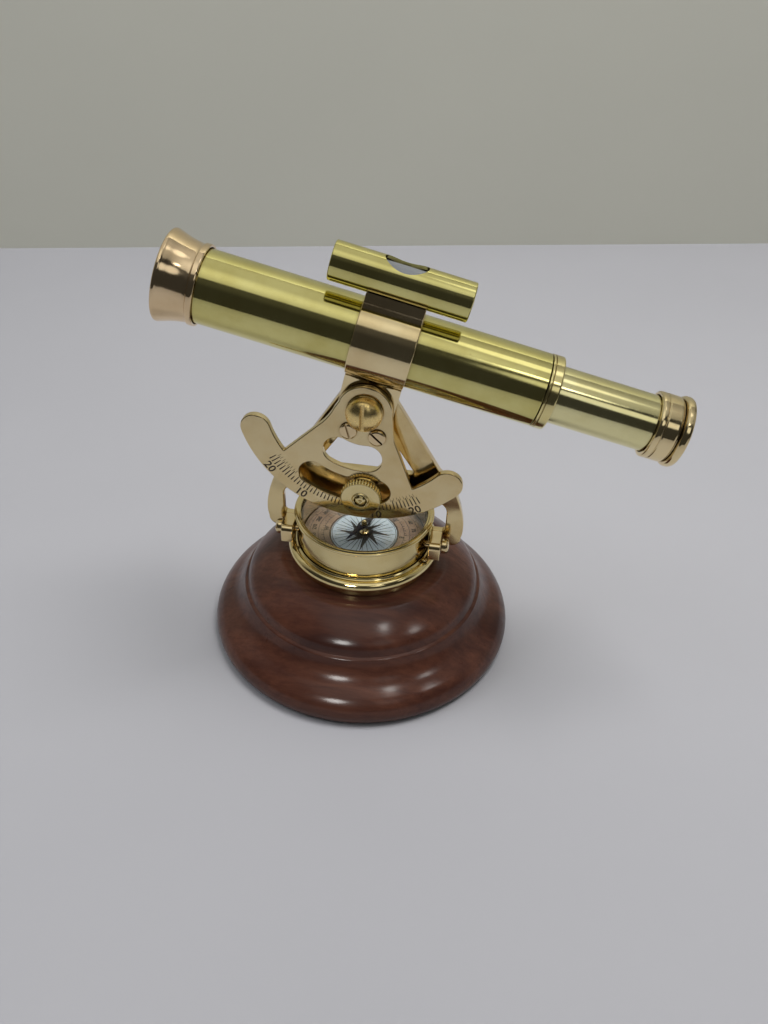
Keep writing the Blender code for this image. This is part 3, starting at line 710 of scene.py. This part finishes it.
def compass():
    top, inner, floor, seat = WALL_TOP, WALL_R - 1.7, DIAL_LOW - GAP, GLASS_LOW - GAP
    outside = [(0, RING_LOW), (WALL_R, RING_LOW), (WALL_R, top - 0.7), (WALL_R - 0.15, top - 0.6),
               (WALL_R - 0.15, top - 0.35), (WALL_R, top - 0.25), (WALL_R, top)]
    inside = [(GLASS_R + GAP, top), (GLASS_R + GAP, seat), (inner, seat), (inner, floor), (0, floor)]
    housing = lathed("compass_case", outside + inside, steps=192, soft=0.06)
    for side, node, turn in ((-1, "bracket_screw_left", TO_LEFT), (1, "bracket_screw_right", TO_RIGHT)):
        centre = middle(node)
        drill(housing, SCREW_BORE, -4, 4, move(side * (WALL_R - 1.3), centre.y, centre.z) @ turn, 32)
    piece(housing, BRASS_TURNED, "stand", "brass_pale", "compass_housing")

    edge, rim_top = BEZEL_R, BEZEL_TOP
    rim = [(WALL_R + GAP, top), (edge - 0.15, top), (edge, top + 0.2), (edge, top + 0.85),
           (edge - 0.25, top + 1.05), (edge - 0.42, top + 1.02), (edge - 0.50, top + 1.25),
           (edge - 0.68, rim_top - 0.08), (edge - 0.95, rim_top), (edge - 1.3, rim_top - 0.06),
           (24.9, rim_top - 0.30), (24.7, rim_top - 0.52), (24.45, rim_top - 0.50), (24.2, rim_top - 0.62),
           (24.0, rim_top - 0.9), (24.0, top + GAP), (WALL_R + GAP, top + GAP)]
    rim = lathed("compass_rim", rim, steps=192, soft=0.08)
    piece(rim, BRASS_TURNED, "stand", "brass_pale", "compass_bezel")

    pane = [(0, GLASS_LOW), (GLASS_R - 0.2, GLASS_LOW), (GLASS_R, GLASS_LOW + 0.2), (GLASS_R, top - 0.3)]
    pane += [(GLASS_R * (1 - k / 8), top - 0.25 * (1 - k / 8) ** 2) for k in range(8)] + [(0, top)]
    piece(object_from("compass_window", turned(pane, 128)), GLASS, "stand", "glass", "compass_glass")

    paper = [(ROSE_R + GAP, DIAL_LOW), (DIAL_R, DIAL_LOW), (DIAL_R, DIAL_TOP), (ROSE_R + GAP, DIAL_TOP)]
    paper = lathed("compass_degree_ring", paper, soft=0.1)
    piece(paper, DIAL_PAPER, "stand", "printed_paper", "compass_dial_ring")
    disc = [(0, DIAL_LOW), (ROSE_R, DIAL_LOW), (ROSE_R, DIAL_TOP), (0, DIAL_TOP)]
    disc = lathed("compass_rose_disc", disc, soft=0.1)
    piece(disc, ROSE_PAPER, "stand", "rose_paper", "compass_rose_plate")


def flat_mark(bm, points, z0, z1):
    """Adds one thin closed prism to a bmesh."""
    points = points if area(points) > 0 else points[::-1]
    lower = [bm.verts.new((x, y, z0)) for x, y in points]
    upper = [bm.verts.new((x, y, z1)) for x, y in points]
    bm.faces.new(lower[::-1])
    bm.faces.new(upper)
    for k in range(len(points)):
        n = (k + 1) % len(points)
        bm.faces.new((lower[k], lower[n], upper[n], upper[k]))


def stroke(bm, a, b, width, z0, z1, end_width=None):
    """Adds one straight line of print, which may widen or narrow towards its end."""
    (ax, ay), (bx, by) = a, b
    length = hypot(bx - ax, by - ay)
    nx, ny = -(by - ay) / length / 2, (bx - ax) / length / 2
    last = width if end_width is None else end_width
    flat_mark(bm, [(ax - nx * width, ay - ny * width), (bx - nx * last, by - ny * last),
                   (bx + nx * last, by + ny * last), (ax + nx * width, ay + ny * width)], z0, z1)


def thin_ring(bm, r, width, z0, z1):
    inner, outer = r - width / 2, r + width / 2
    turned([(inner, z0), (outer, z0), (outer, z1), (inner, z1)], 160, bm=bm)


def lettering(words, size, bold):
    """Words set with the built-in font, each at its own matrix in millimetres."""
    bm = bmesh.new()
    for text, at in words:
        data = bpy.data.curves.new("word", "FONT")
        data.body = text
        data.size = size
        data.align_x = "CENTER"
        data.align_y = "CENTER"
        data.extrude = 0.03
        data.resolution_u = 3
        data.offset = bold
        thing = add_object("word", data)
        mesh = evaluated_mesh(thing)
        bpy.data.objects.remove(thing, do_unlink=True)
        mesh.transform(at)
        bm.from_mesh(mesh)
        bpy.data.meshes.remove(mesh)
    bmesh.ops.remove_doubles(bm, verts=bm.verts, dist=1e-5)
    return bm


def dial_printing():
    """Degree ring, numbers, compass points and the rays of the rose, a hair proud of the paper."""
    z0, z1 = DIAL_TOP - 0.05, DIAL_TOP + 0.03
    bm = bmesh.new()
    for turn in range(0, 360, 2):
        length = 1.7 if turn % 10 == 0 else 1.0
        stroke(bm, polar(DIAL_R - 0.5, turn), polar(DIAL_R - 0.5 - length, turn), 0.27, z0, z1)
    for k in range(72):
        reach = ROSE_R + 3.3 + (0.5 if k % 2 else 0)
        stroke(bm, polar(ROSE_R + 2.8, 5 * k), polar(reach, 5 * k), 0.26, z0, z1)
    for r, width in ((DIAL_R - 0.35, 0.16), (DIAL_R - 2.35, 0.16), (ROSE_R + 4.9, 0.16), (ROSE_R + 2.7, 0.16),
                     (ROSE_R + 0.5, 0.3)):
        thin_ring(bm, r, width, z0, z1)
    piece(object_from("dial_scale_print", bm), INK, "stand", "printed_paper")

    def round_the_dial(texts, r):
        for k, text in enumerate(texts):
            turn = 360 * k / len(texts)
            yield text, Matrix.Rotation(radians(turn), 4, "Z") @ move(0, r, DIAL_TOP)

    numbers = [str((360 - turn) % 360) for turn in range(0, 360, 15)]
    bm = lettering(round_the_dial(numbers, DIAL_R - 4.0), 2.1, 0.10)
    piece(object_from("dial_numbers", bm), INK, "stand", "printed_paper")
    points = ("N", "NW", "W", "SW", "S", "SE", "E", "NE")
    bm = lettering(round_the_dial(points, ROSE_R + 1.65), 2.3, 0.10)
    piece(object_from("dial_letters", bm), INK, "stand", "printed_paper")

    bm = bmesh.new()
    for k in range(32):
        reach = ROSE_R - (0.9 if k % 2 == 0 else 1.6)
        stroke(bm, polar(1.5, 11.25 * k + 5.6), polar(reach, 11.25 * k + 5.6), 0.30, z0, z1, 0.16)
    for reach, half, top in ((ROSE_R - 2.0, 0, z1 + 0.01), (ROSE_R - 3.4, 45, z1)):
        for turn in range(half, 360 + half, 90):
            flat_mark(bm, [polar(0.2, turn), polar(3.4, turn + 45), polar(reach, turn)], z0, top)
    thin_ring(bm, ROSE_R - 0.45, 0.22, z0, z1)
    piece(object_from("rose_rays_print", bm), INK, "stand", "rose_paper")


def needle():
    top, tip = DIAL_TOP, 11.6
    pin = [(0, top + GAP), (1.8, top + GAP), (1.8, top + 0.9), (0.8, top + 1.2), (0.55, top + 2.2),
           (0.40, NEEDLE.z - 0.4), (0, NEEDLE.z + 0.7)]
    piece(lathed("needle_pin", pin, steps=32, soft=0.1), BRASS, "stand", "brass_pale", "needle_pivot")
    half = [(tip, 0), (3.0, 1.25), (1.2, 1.9), (-1.2, 1.9), (-3.0, 1.25)]
    blade = plate(half + [(-x, -y) for x, y in half], [circle(0, 0, 1.45, 32)], 0.0, 0.5, 0.12, 2)
    turn = move(*NEEDLE) @ Matrix.Rotation(radians(63), 4, "Z")
    piece(object_from("needle_blade", blade, turn), STEEL, "needle", "blued_steel", "compass_needle")
    cap = [(0.75, -0.5), (1.15, -0.5), (1.15, 0.9)] + arc(0, 0.9, 1.1, 10, 80, 6)
    cap += [(0, 2.0), (0, 1.1), (0.75, 0.7)]
    cap = object_from("needle_jewel_cap", turned(cap, 48), move(*NEEDLE))
    piece(cap, BRASS_TURNED, "needle", "brass_pale", "needle_cap")


# ---- A-frame and its fixings

def side_brackets():
    (x0, y0, z0), (x1, y1, z1) = low("bracket_right"), high("bracket_right")
    outline = [(y0, z0), (y1, z0), (y1, z1)] + arc(y0 + 2.4, z1 - 2.4, 2.4, 90, 180, 12)
    for side, word, turn in ((-1, "left", TO_LEFT), (1, "right", TO_RIGHT)):
        spot, foot = middle("bracket_screw_" + word), middle("foot_screw_" + word)
        bm = plate(outline, [circle(spot.y, spot.z, SCREW_BORE, 32)], 0, x1 - x0, 0.4)
        cheek = object_from("bracket_block_" + word, bm, move(x0 if side > 0 else -x1, 0, 0) @ ALONG_X)
        drill(cheek, FOOT_BORE, -1, 3.0, move(foot.x, y1, foot.z) @ TO_FRONT)
        piece(cheek, BRASS, "stand", "bronze", "bracket_" + word)

        seat = move(side * (x1 + GAP), spot.y, spot.z) @ turn
        head = [(0, -7.1), (1.3, -7.1), (1.3, 0), (2.9, 0.0), (2.9, 1.5), (2.6, 2.1), (2.0, 2.5),
                (1.0, 2.67), (0, 2.7)]
        made = lathed("cheek_screw_" + word, head, seat, 64)
        driver_slot(made, seat, 0.9, 1.1, 2.7, 4, 0.4)
        piece(made, BRASS, "stand", "brass_pale", "bracket_screw_" + word, bevel=0.06)

        seat = move(foot.x, high("a_frame").y + GAP, foot.z) @ TO_BACK
        head = [(0, -5.6), (1.2, -5.6), (1.2, 0), (2.2, 0), (2.2, 0.5), (1.9, 0.95), (1.1, 1.15), (0, 1.2)]
        made = lathed("rear_foot_screw_" + word, head, seat, 48, 0.1)
        driver_slot(made, seat, 0.6, 0.6, 1.2, 3, 0.9)
        piece(made, BRASS, "stand", "brass_pale", "foot_screw_" + word, bevel=0.05)


def a_frame():
    """A flat plate from the hub down two legs to the ears. Its right half is drawn, and mirrored."""
    foot_z, half = low("a_frame").z, high("a_frame").x
    hub = high("a_frame").z - PIVOT.z
    inner = low("bracket_right").x + 0.1
    foot_top = high("bracket_right").z - 0.2
    toe_r, fillet_r, arch_r, crossbar = 3.6, 1.6, 4.4, 73.3
    shoulder = (27.0, 76.0)
    reach = hypot(shoulder[0], shoulder[1] - PIVOT.z)
    tangent = degrees(atan2(shoulder[1] - PIVOT.z, shoulder[0]) + acos(hub / reach))
    right = arc(0, PIVOT.z, hub, 90, tangent, 18)[1:]
    ear = [shoulder, (30.8, 71.6), (33.9, 66.4), (36.1, 60.4), (37.4, 54.4), (37.7, 50.2), (37.5, 47.6)]
    right += [(min(x, half), z) for x, z in smoothed(ear)[:-1]]
    right += arc(33.6, foot_z + toe_r, toe_r, 6, -90, 12)
    right += [(inner, foot_z), (inner, foot_top), (29.4, foot_top)]
    right += arc(29.4, foot_top + fillet_r, fillet_r, -90, 0, 8)[1:]
    right += arc(26.6, 57.4, arch_r, 0, 160, 24)
    right += smoothed([(20.7, 56.6), (18.9, 55.6), (16.6, 55.2), (14.2, 55.7), (11.6, 57.0), (8.6, 58.1),
                       (4.6, 58.6), (0.6, 58.65)], 4)
    outline = [(0, PIVOT.z + hub)] + mirrored(right)
    neck = arc(0, PIVOT.z, 13.3, -55, -88, 10)
    opening = mirrored([(16.9, crossbar), (17.8, crossbar + 1.0)] + neck)
    holes = [softened(opening, 0.5), circle(0, PIVOT.z, PIVOT_BORE), circle(0, STUD.z, STUD_BORE)]
    for foot in (middle("foot_screw_left"), middle("foot_screw_right")):
        holes.append(circle(foot.x, foot.z, FOOT_BORE, 32))
    bm = plate(softened(outline, 0.5), holes, -high("a_frame").y, -low("a_frame").y, 0.45, 4)
    piece(object_from("frame_plate", bm, TO_FRONT), FRAME_BRASS, "stand", "brass_pale", "a_frame")


def pivot_hardware():
    y = high("pivot_washer").y
    washer = [(PIVOT_BORE, 0), (6.45, 0), (6.35, 0.6), (PIVOT_BORE, 0.6)]
    washer = lathed("pivot_washer_ring", washer, move(PIVOT.x, y, PIVOT.z) @ TO_FRONT, 96, 0.15)
    piece(washer, BRASS_TURNED, "stand", "brass_pale", "pivot_washer")

    seat = y - 0.6 - GAP
    ball = high("pivot_screw").z - PIVOT.z
    shank = high("pivot_screw").y - seat
    dome = [(ball * cos(t), 0.5 + 4.9 * sin(t)) for t in (radians(k) for k in range(0, 90, 4))]
    head = [(0, -shank), (2.1, -shank), (2.5, -shank + 0.4), (2.5, 0), (ball - 0.15, 0), (ball, 0.15)]
    place = move(PIVOT.x, seat, PIVOT.z) @ TO_FRONT
    made = object_from("pivot_ball_screw", turned(head + dome + [(0, 5.4)], 128), place)
    driver_slot(made, place, 1.5, 2.2, 5.4, 9)
    piece(made, BALL_BRASS, "stand", "brass_pale", "pivot_screw", bevel=0.15)

    nut = plate(circle(0, 0, 5.2, 6), [circle(0, 0, PIVOT_BORE)], 0.0, 2.6, 0.45)
    nut = object_from("pivot_hex_nut", nut, move(PIVOT.x, high("a_frame").y + GAP, PIVOT.z) @ TO_BACK)
    piece(nut, BRASS, "stand", "brass_pale", "pivot_nut")


def clamp():
    flange = high("a_frame").y + GAP
    length = flange - low("clamp_stud").y
    stud = [(0, -1.4), (3.6, -1.4), (4.0, -1.0), (4.0, 0), (2.0, 0), (2.0, length - 0.5), (1.5, length),
            (0.5, length), (0, length - 0.35)]
    stud = lathed("clamp_bolt", stud, move(STUD.x, flange, STUD.z) @ TO_FRONT, 64)
    piece(stud, BRASS_TURNED, "stand", "bronze", "clamp_stud")

    washer = [(STUD_BORE, 0), (6.6, 0), (6.5, 0.7), (6.3, 0.8), (STUD_BORE, 0.8)]
    seat = move(STUD.x, high("clamp_washer").y, STUD.z) @ TO_FRONT
    washer = lathed("clamp_washer_ring", washer, seat, 96, 0.15)
    piece(washer, BRASS_TURNED, "stand", "brass_pale", "clamp_washer")

    back, r, teeth = high("clamp_knob").y, high("clamp_knob").x, 44
    deep = back - low("clamp_knob").y - 0.5
    knob = [(STUD_BORE, 0), (r - 1.1, 0), (r - 0.3, 0.4), (r, 0.9), (r, deep - 0.65), (r - 0.35, deep - 0.2),
            (r - 0.6, deep - 0.02), (r - 0.9, deep), (3.2, deep), (3.05, deep - 0.12), (2.9, deep + 0.1),
            (2.75, deep + 0.4), (2.5, deep + 0.5), (STUD_BORE, deep + 0.35)]
    knob = turned(softened(knob, 0.06), teeth * 10, teeth, 0.42, (0.3, deep - 0.1, r - 0.5))
    knob = object_from("knurled_knob", knob, move(STUD.x, back, STUD.z) @ TO_FRONT)
    piece(knob, BRASS_TURNED, "knob", "brass_pale", "clamp_knob", smooth=60)


# ---- sector, telescope and level

AXIS_H = tilted_middle("telescope_tube").z
LEVEL_H = tilted_middle("level_tube").z
TUBE_R = high("telescope_tube").y
BAND_R = high("band_clamp").y
DRAW_R = high("draw_tube").y
LEVEL_R = high("level_tube").y
SECTOR_FRONT = low("sector_plate").y
SECTOR_BACK = high("sector_plate").y
SECTOR_SCREWS = {node: tilted_middle(node) for node in ("sector_screw_left", "sector_screw_right")}


def arc_slot(mid, width, angle, count):
    """A slot of half width `width` along an arc about the pivot, `angle` degrees to each side."""
    side = arc(0, 0, mid + width, -90 - angle, -90 + angle, count)
    back = arc(0, 0, mid - width, -90 + angle, -90 - angle, count)
    return (side + arc(*polar(mid, angle), width, -90 + angle, 90 + angle, 18)[1:-1] + back
            + arc(*polar(mid, -angle), width, 90 - angle, 270 - angle, 18)[1:-1])


def sector():
    """The slotted plate that tilts with the telescope, drawn about the pivot with the telescope level."""
    outer, inner, corner, end = 46.2, 35.2, 43.1, 60.8
    waist = smoothed([(14.6, -11.2), (12.7, -8.2), (11.3, -4.9), (10.4, -1.7)], 4)
    arch = waist + arc(0, 0, 9.5, 5, 88, 18)
    mid, half = (outer + inner) / 2, (outer - inner) / 2
    arm = arc(0, 0, inner, corner - 90, end - 90, 8)
    tip = arc(*polar(mid, end), half, end + 90, end - 90, 24)[1:]
    rim = arc(0, 0, outer, end - 90, -89, 40)[1:]
    right = arch[::-1] + arm + tip + rim
    outline = softened([(0, 9.5)] + right + [(0, -outer)] + [(-x, y) for x, y in reversed(right)], 0.4)
    holes = [arc_slot(34.0, 5.1, 20.8, 30), arc_slot(19.5, 5.4, 16.0, 16), circle(0, 0, PIVOT_BORE)]
    holes += [circle(spot.x, spot.z, SCREW_BORE, 32) for spot in SECTOR_SCREWS.values()]
    bm = plate(outline, holes, -SECTOR_BACK, -SECTOR_FRONT, 0.40, 4)
    face = TILTED @ TO_FRONT
    piece(object_from("sector_arc_plate", bm, face), SECTOR_BRASS, "telescope", "brass_pale", "sector_plate")

    for (node, spot), turn in zip(SECTOR_SCREWS.items(), (radians(28), radians(60))):
        place = TILTED @ move(spot.x, SECTOR_FRONT - GAP, spot.z) @ TO_FRONT
        head = [(0, -4.3), (1.3, -4.3), (1.3, 0), (3.0, 0.0), (3.1, 0.12), (3.1, 0.7), (2.9, 1.0),
                (2.4, 1.2), (1.2, 1.28), (0, 1.3)]
        made = lathed(node + "_head", head, place, 64)
        driver_slot(made, place, 0.75, 0.7, 1.3, 4, turn)
        piece(made, BRONZE_FLAT, "telescope", "bronze", node, bevel=0.06)

    # graduations and numbers on the face, filled dark; a fine second row runs outside 14 divisions
    z0, z1, division = -SECTOR_FRONT - 0.05, -SECTOR_FRONT + 0.025, 1.94
    bm = bmesh.new()
    for k in range(-22, 23):
        near = (37.9 if abs(k) > 14 else 38.9) + (0.0 if k % 2 else 0.9)
        stroke(bm, polar(near, division * k), polar(41.9, division * k), 0.28, z0, z1, 0.46)
    for side in (-1, 1):
        for k in range(15, 23):
            turn = side * division * (k - 0.5)
            stroke(bm, polar(37.0, turn), polar(38.6, turn), 0.13, z0, z1)
    piece(object_from("sector_graduations", bm, face), ENGRAVED, "telescope", "brass_pale")

    words = []
    for text, turn in (("20", -38.8), ("10", -19.0), ("10", 19.0), ("20", 38.8)):
        at = move(*polar(TUBE_R + 31.9, turn), -SECTOR_FRONT)
        words.append((text, at @ Matrix.Rotation(radians(turn), 4, "Z")))
    numbers = object_from("sector_numbers", lettering(words, 4.5, 0.07), face)
    piece(numbers, ENGRAVED, "telescope", "brass_pale")


def spun(name, profile, steps=160, soft=0.12, height=AXIS_H):
    """A part turned about an axis parallel to the telescope; the profile is (distance along, radius)."""
    return lathed(name, [(r, a) for a, r in profile], TILTED @ move(0, 0, height) @ TO_RIGHT, steps, soft)


def band_clamp():
    bore = TUBE_R + GAP
    band = spun("telescope_band", mirrored([(-10, bore), (-10, BAND_R - 0.15), (-9.75, BAND_R)]), soft=0.2)
    piece(band, BAND_METAL, "telescope", "bronze", "band_clamp", smooth=30)
    y0, y1 = -2.8, -1.3
    section = [(y0, -12.6), (y1, -12.6), (y1, 10.4), (0.2, 10.95), (1.6, 11.75), (-4.4, 11.75), (-3.4, 11.0),
               (y0, 10.0)]
    tongue = plate(softened(section, 0.3), [], -9.9, 9.9, 0.25, 2)
    tongue = object_from("band_tongue", tongue, TILTED @ ALONG_X)
    drill(tongue, PIVOT_BORE, -8, 8, TILTED @ move(0, -2, 0) @ TO_FRONT, 48)
    for spot in SECTOR_SCREWS.values():
        drill(tongue, SCREW_BORE, -8, 8, TILTED @ move(spot.x, -2, spot.z) @ TO_FRONT, 32)
    piece(tongue, BAND_METAL, "telescope", "bronze")


def telescope():
    """Tube, hood, collar, draw tube and eyepiece; distances run along the axis from above the pivot."""
    tube = [(-66.0, 11.2), (-66.0, TUBE_R), (53.2, TUBE_R), (53.2, 11.2)]
    piece(spun("main_tube", tube, 192), YELLOW, "telescope", "brass_yellow", "telescope_tube")
    flare = smoothed([(-64.6, 13.0), (-67.0, 13.4), (-69.4, 14.0), (-71.4, 14.65), (-72.5, 15.0)], 4)
    hood = [(-61.3, 12.55), (-61.3, 13.3), (-61.8, 13.45), (-63.2, 13.45), (-63.6, 13.0), (-64.0, 12.95)]
    hood += flare + [(-73.0, 15.2), (-73.7, 15.2), (-74.1, 14.9), (-74.1, 14.3), (-71.6, 13.6), (-67.2, 12.4),
             (-66.3, 12.1), (-66.3, 12.55)]
    piece(spun("flared_hood", hood, 192, 0.15), BRONZE, "telescope", "bronze", "objective_hood")
    lens = [(-65.6 + 0.003 * r * r, r) for r in (0, 2.5, 5, 7.5, 9.5, 10.9)]
    lens += [(-61.9 - 0.00924 * r * r, r) for r in (10.9, 8, 5, 2.5, 0)]
    piece(spun("front_lens", lens, 96, 0.02), GLASS, "telescope", "glass", "objective_lens")
    retainer = [(-61.6, 9.7), (-61.6, 10.9), (-60.2, 10.9), (-60.2, 9.7)]
    piece(spun("lens_retainer", retainer, 96), BRASS_TURNED, "telescope", "brass_pale", "lens_ring")
    bore = DRAW_R + GAP
    collar = [(46.0, bore), (46.0, 10.9), (53.5, 10.9), (53.5, 12.1), (53.65, 12.35), (54.25, 12.4),
              (54.35, 12.05), (54.55, 12.05), (54.65, 12.4), (57.1, 12.4), (57.5, 12.25), (57.6, 11.9),
              (57.6, bore)]
    piece(spun("draw_collar", collar, soft=0.08), COLLAR_BRASS, "telescope", "bronze", "end_collar")

    tube = [(22.0, 8.7), (22.0, DRAW_R), (98.0, DRAW_R), (98.0, 8.7)]
    piece(spun("inner_draw_tube", tube), DRAW_BRASS, "draw", "brass_yellow", "draw_tube")
    cap = [(91.1, 9.9), (91.1, 10.6), (91.4, 11.15), (92.0, 11.3), (93.1, 11.3), (93.3, 11.05),
           (93.6, 11.05), (93.8, 11.3), (97.6, 11.3), (98.2, 11.1), (98.45, 10.7), (98.8, 10.7), (98.8, 9.9)]
    piece(spun("eyepiece_barrel", cap, soft=0.1), BAND_METAL, "draw", "bronze", "eyepiece_cap")
    cup = [(99.1, 8.3), (99.1, 10.9), (99.35, 11.7), (99.9, 12.05), (101.1, 12.1), (101.9, 11.8),
           (102.3, 11.1), (102.4, 10.4), (102.35, 7.2), (102.0, 6.0), (101.4, 4.8), (100.9, 4.4),
           (100.9, 8.3)]
    piece(spun("eye_cup", cup), BAND_METAL, "draw", "bronze", "eyepiece_ring")
    lens = [(98.3, 0), (98.38, 2.5), (98.6, 5.0), (99.0, 8.0), (100.8, 8.0), (100.8, 0)]
    piece(spun("rear_lens", lens, 96, 0.05), GLASS, "draw", "glass", "eye_lens")


def level():
    """A case with an oval window over a vial, on a cradle that joins it to the band."""
    case = mirrored([(-22.8, 5.35), (-22.8, LEVEL_R - 0.3), (-22.5, LEVEL_R)])
    case = spun("level_case", case, height=LEVEL_H)
    oval = plate([(7.1 * x, 4.5 * y) for x, y in circle(0, 0, 1, 72)], [], 1.5, 9.0, 0.0)
    subtract(case, object_from("tool", oval, TILTED @ move(0, 0, LEVEL_H)))
    piece(case, YELLOW, "telescope", "brass_yellow", "level_tube", bevel=0.12)
    plug = [(19.6, 0), (19.6, 5.05), (22.3, 5.05), (22.7, 4.7), (22.8, 4.2), (22.85, 2.6), (23.1, 2.2),
            (23.2, 1.2), (23.2, 0)]
    for side, word in ((-1, "left"), (1, "right")):
        end = spun("level_end_" + word, [(side * a, r) for a, r in plug], 96, height=LEVEL_H)
        piece(end, BRASS_TURNED, "telescope", "brass_pale", "level_plug_" + word)
    vial = spun("level_glass", mirrored([(-19.3, 3.7), (-19.3, 4.9)]), 96, height=LEVEL_H)
    piece(vial, VIAL_GLASS, "telescope", "glass", "level_vial")
    liquid = spun("level_liquid", mirrored([(-19.0, 0), (-19.0, 3.2), (-18.8, 3.4)]), 64, height=LEVEL_H)
    piece(liquid, SPIRIT, "telescope", "spirit", "level_spirit")

    foot = arc(0, AXIS_H, BAND_R - 0.05, 64, 116, 24)
    cup = arc(0, LEVEL_H, LEVEL_R + GAP, -133, -47, 24)
    waist = smoothed([foot[-1], (-5.5, 37.9), (-5.3, 39.0), cup[0]], 4)[1:-1]
    section = foot + waist + cup + [(-x, y) for x, y in reversed(waist)]
    cradle = object_from("level_cradle", plate(section, [], -9.8, 9.8, 0.35), TILTED @ ALONG_X)
    piece(cradle, BRONZE_FLAT, "telescope", "bronze", "level_saddle")


camera()
stage()
room()
wood = wooden_base()
ring = compass_ring()
glint("glint_0", (-0.13, -0.85, 0.50), 0.19, 2.4, wood, ring)
glint("glint_1", (0.36, -0.48, 0.80), 0.09, 0.45, wood)
glint("glint_2", (0.73, -0.36, 0.62), 0.12, 0.40, wood)
compass()
dial_printing()
needle()
side_brackets()
a_frame()
pivot_hardware()
clamp()
sector()
band_clamp()
telescope()
level()
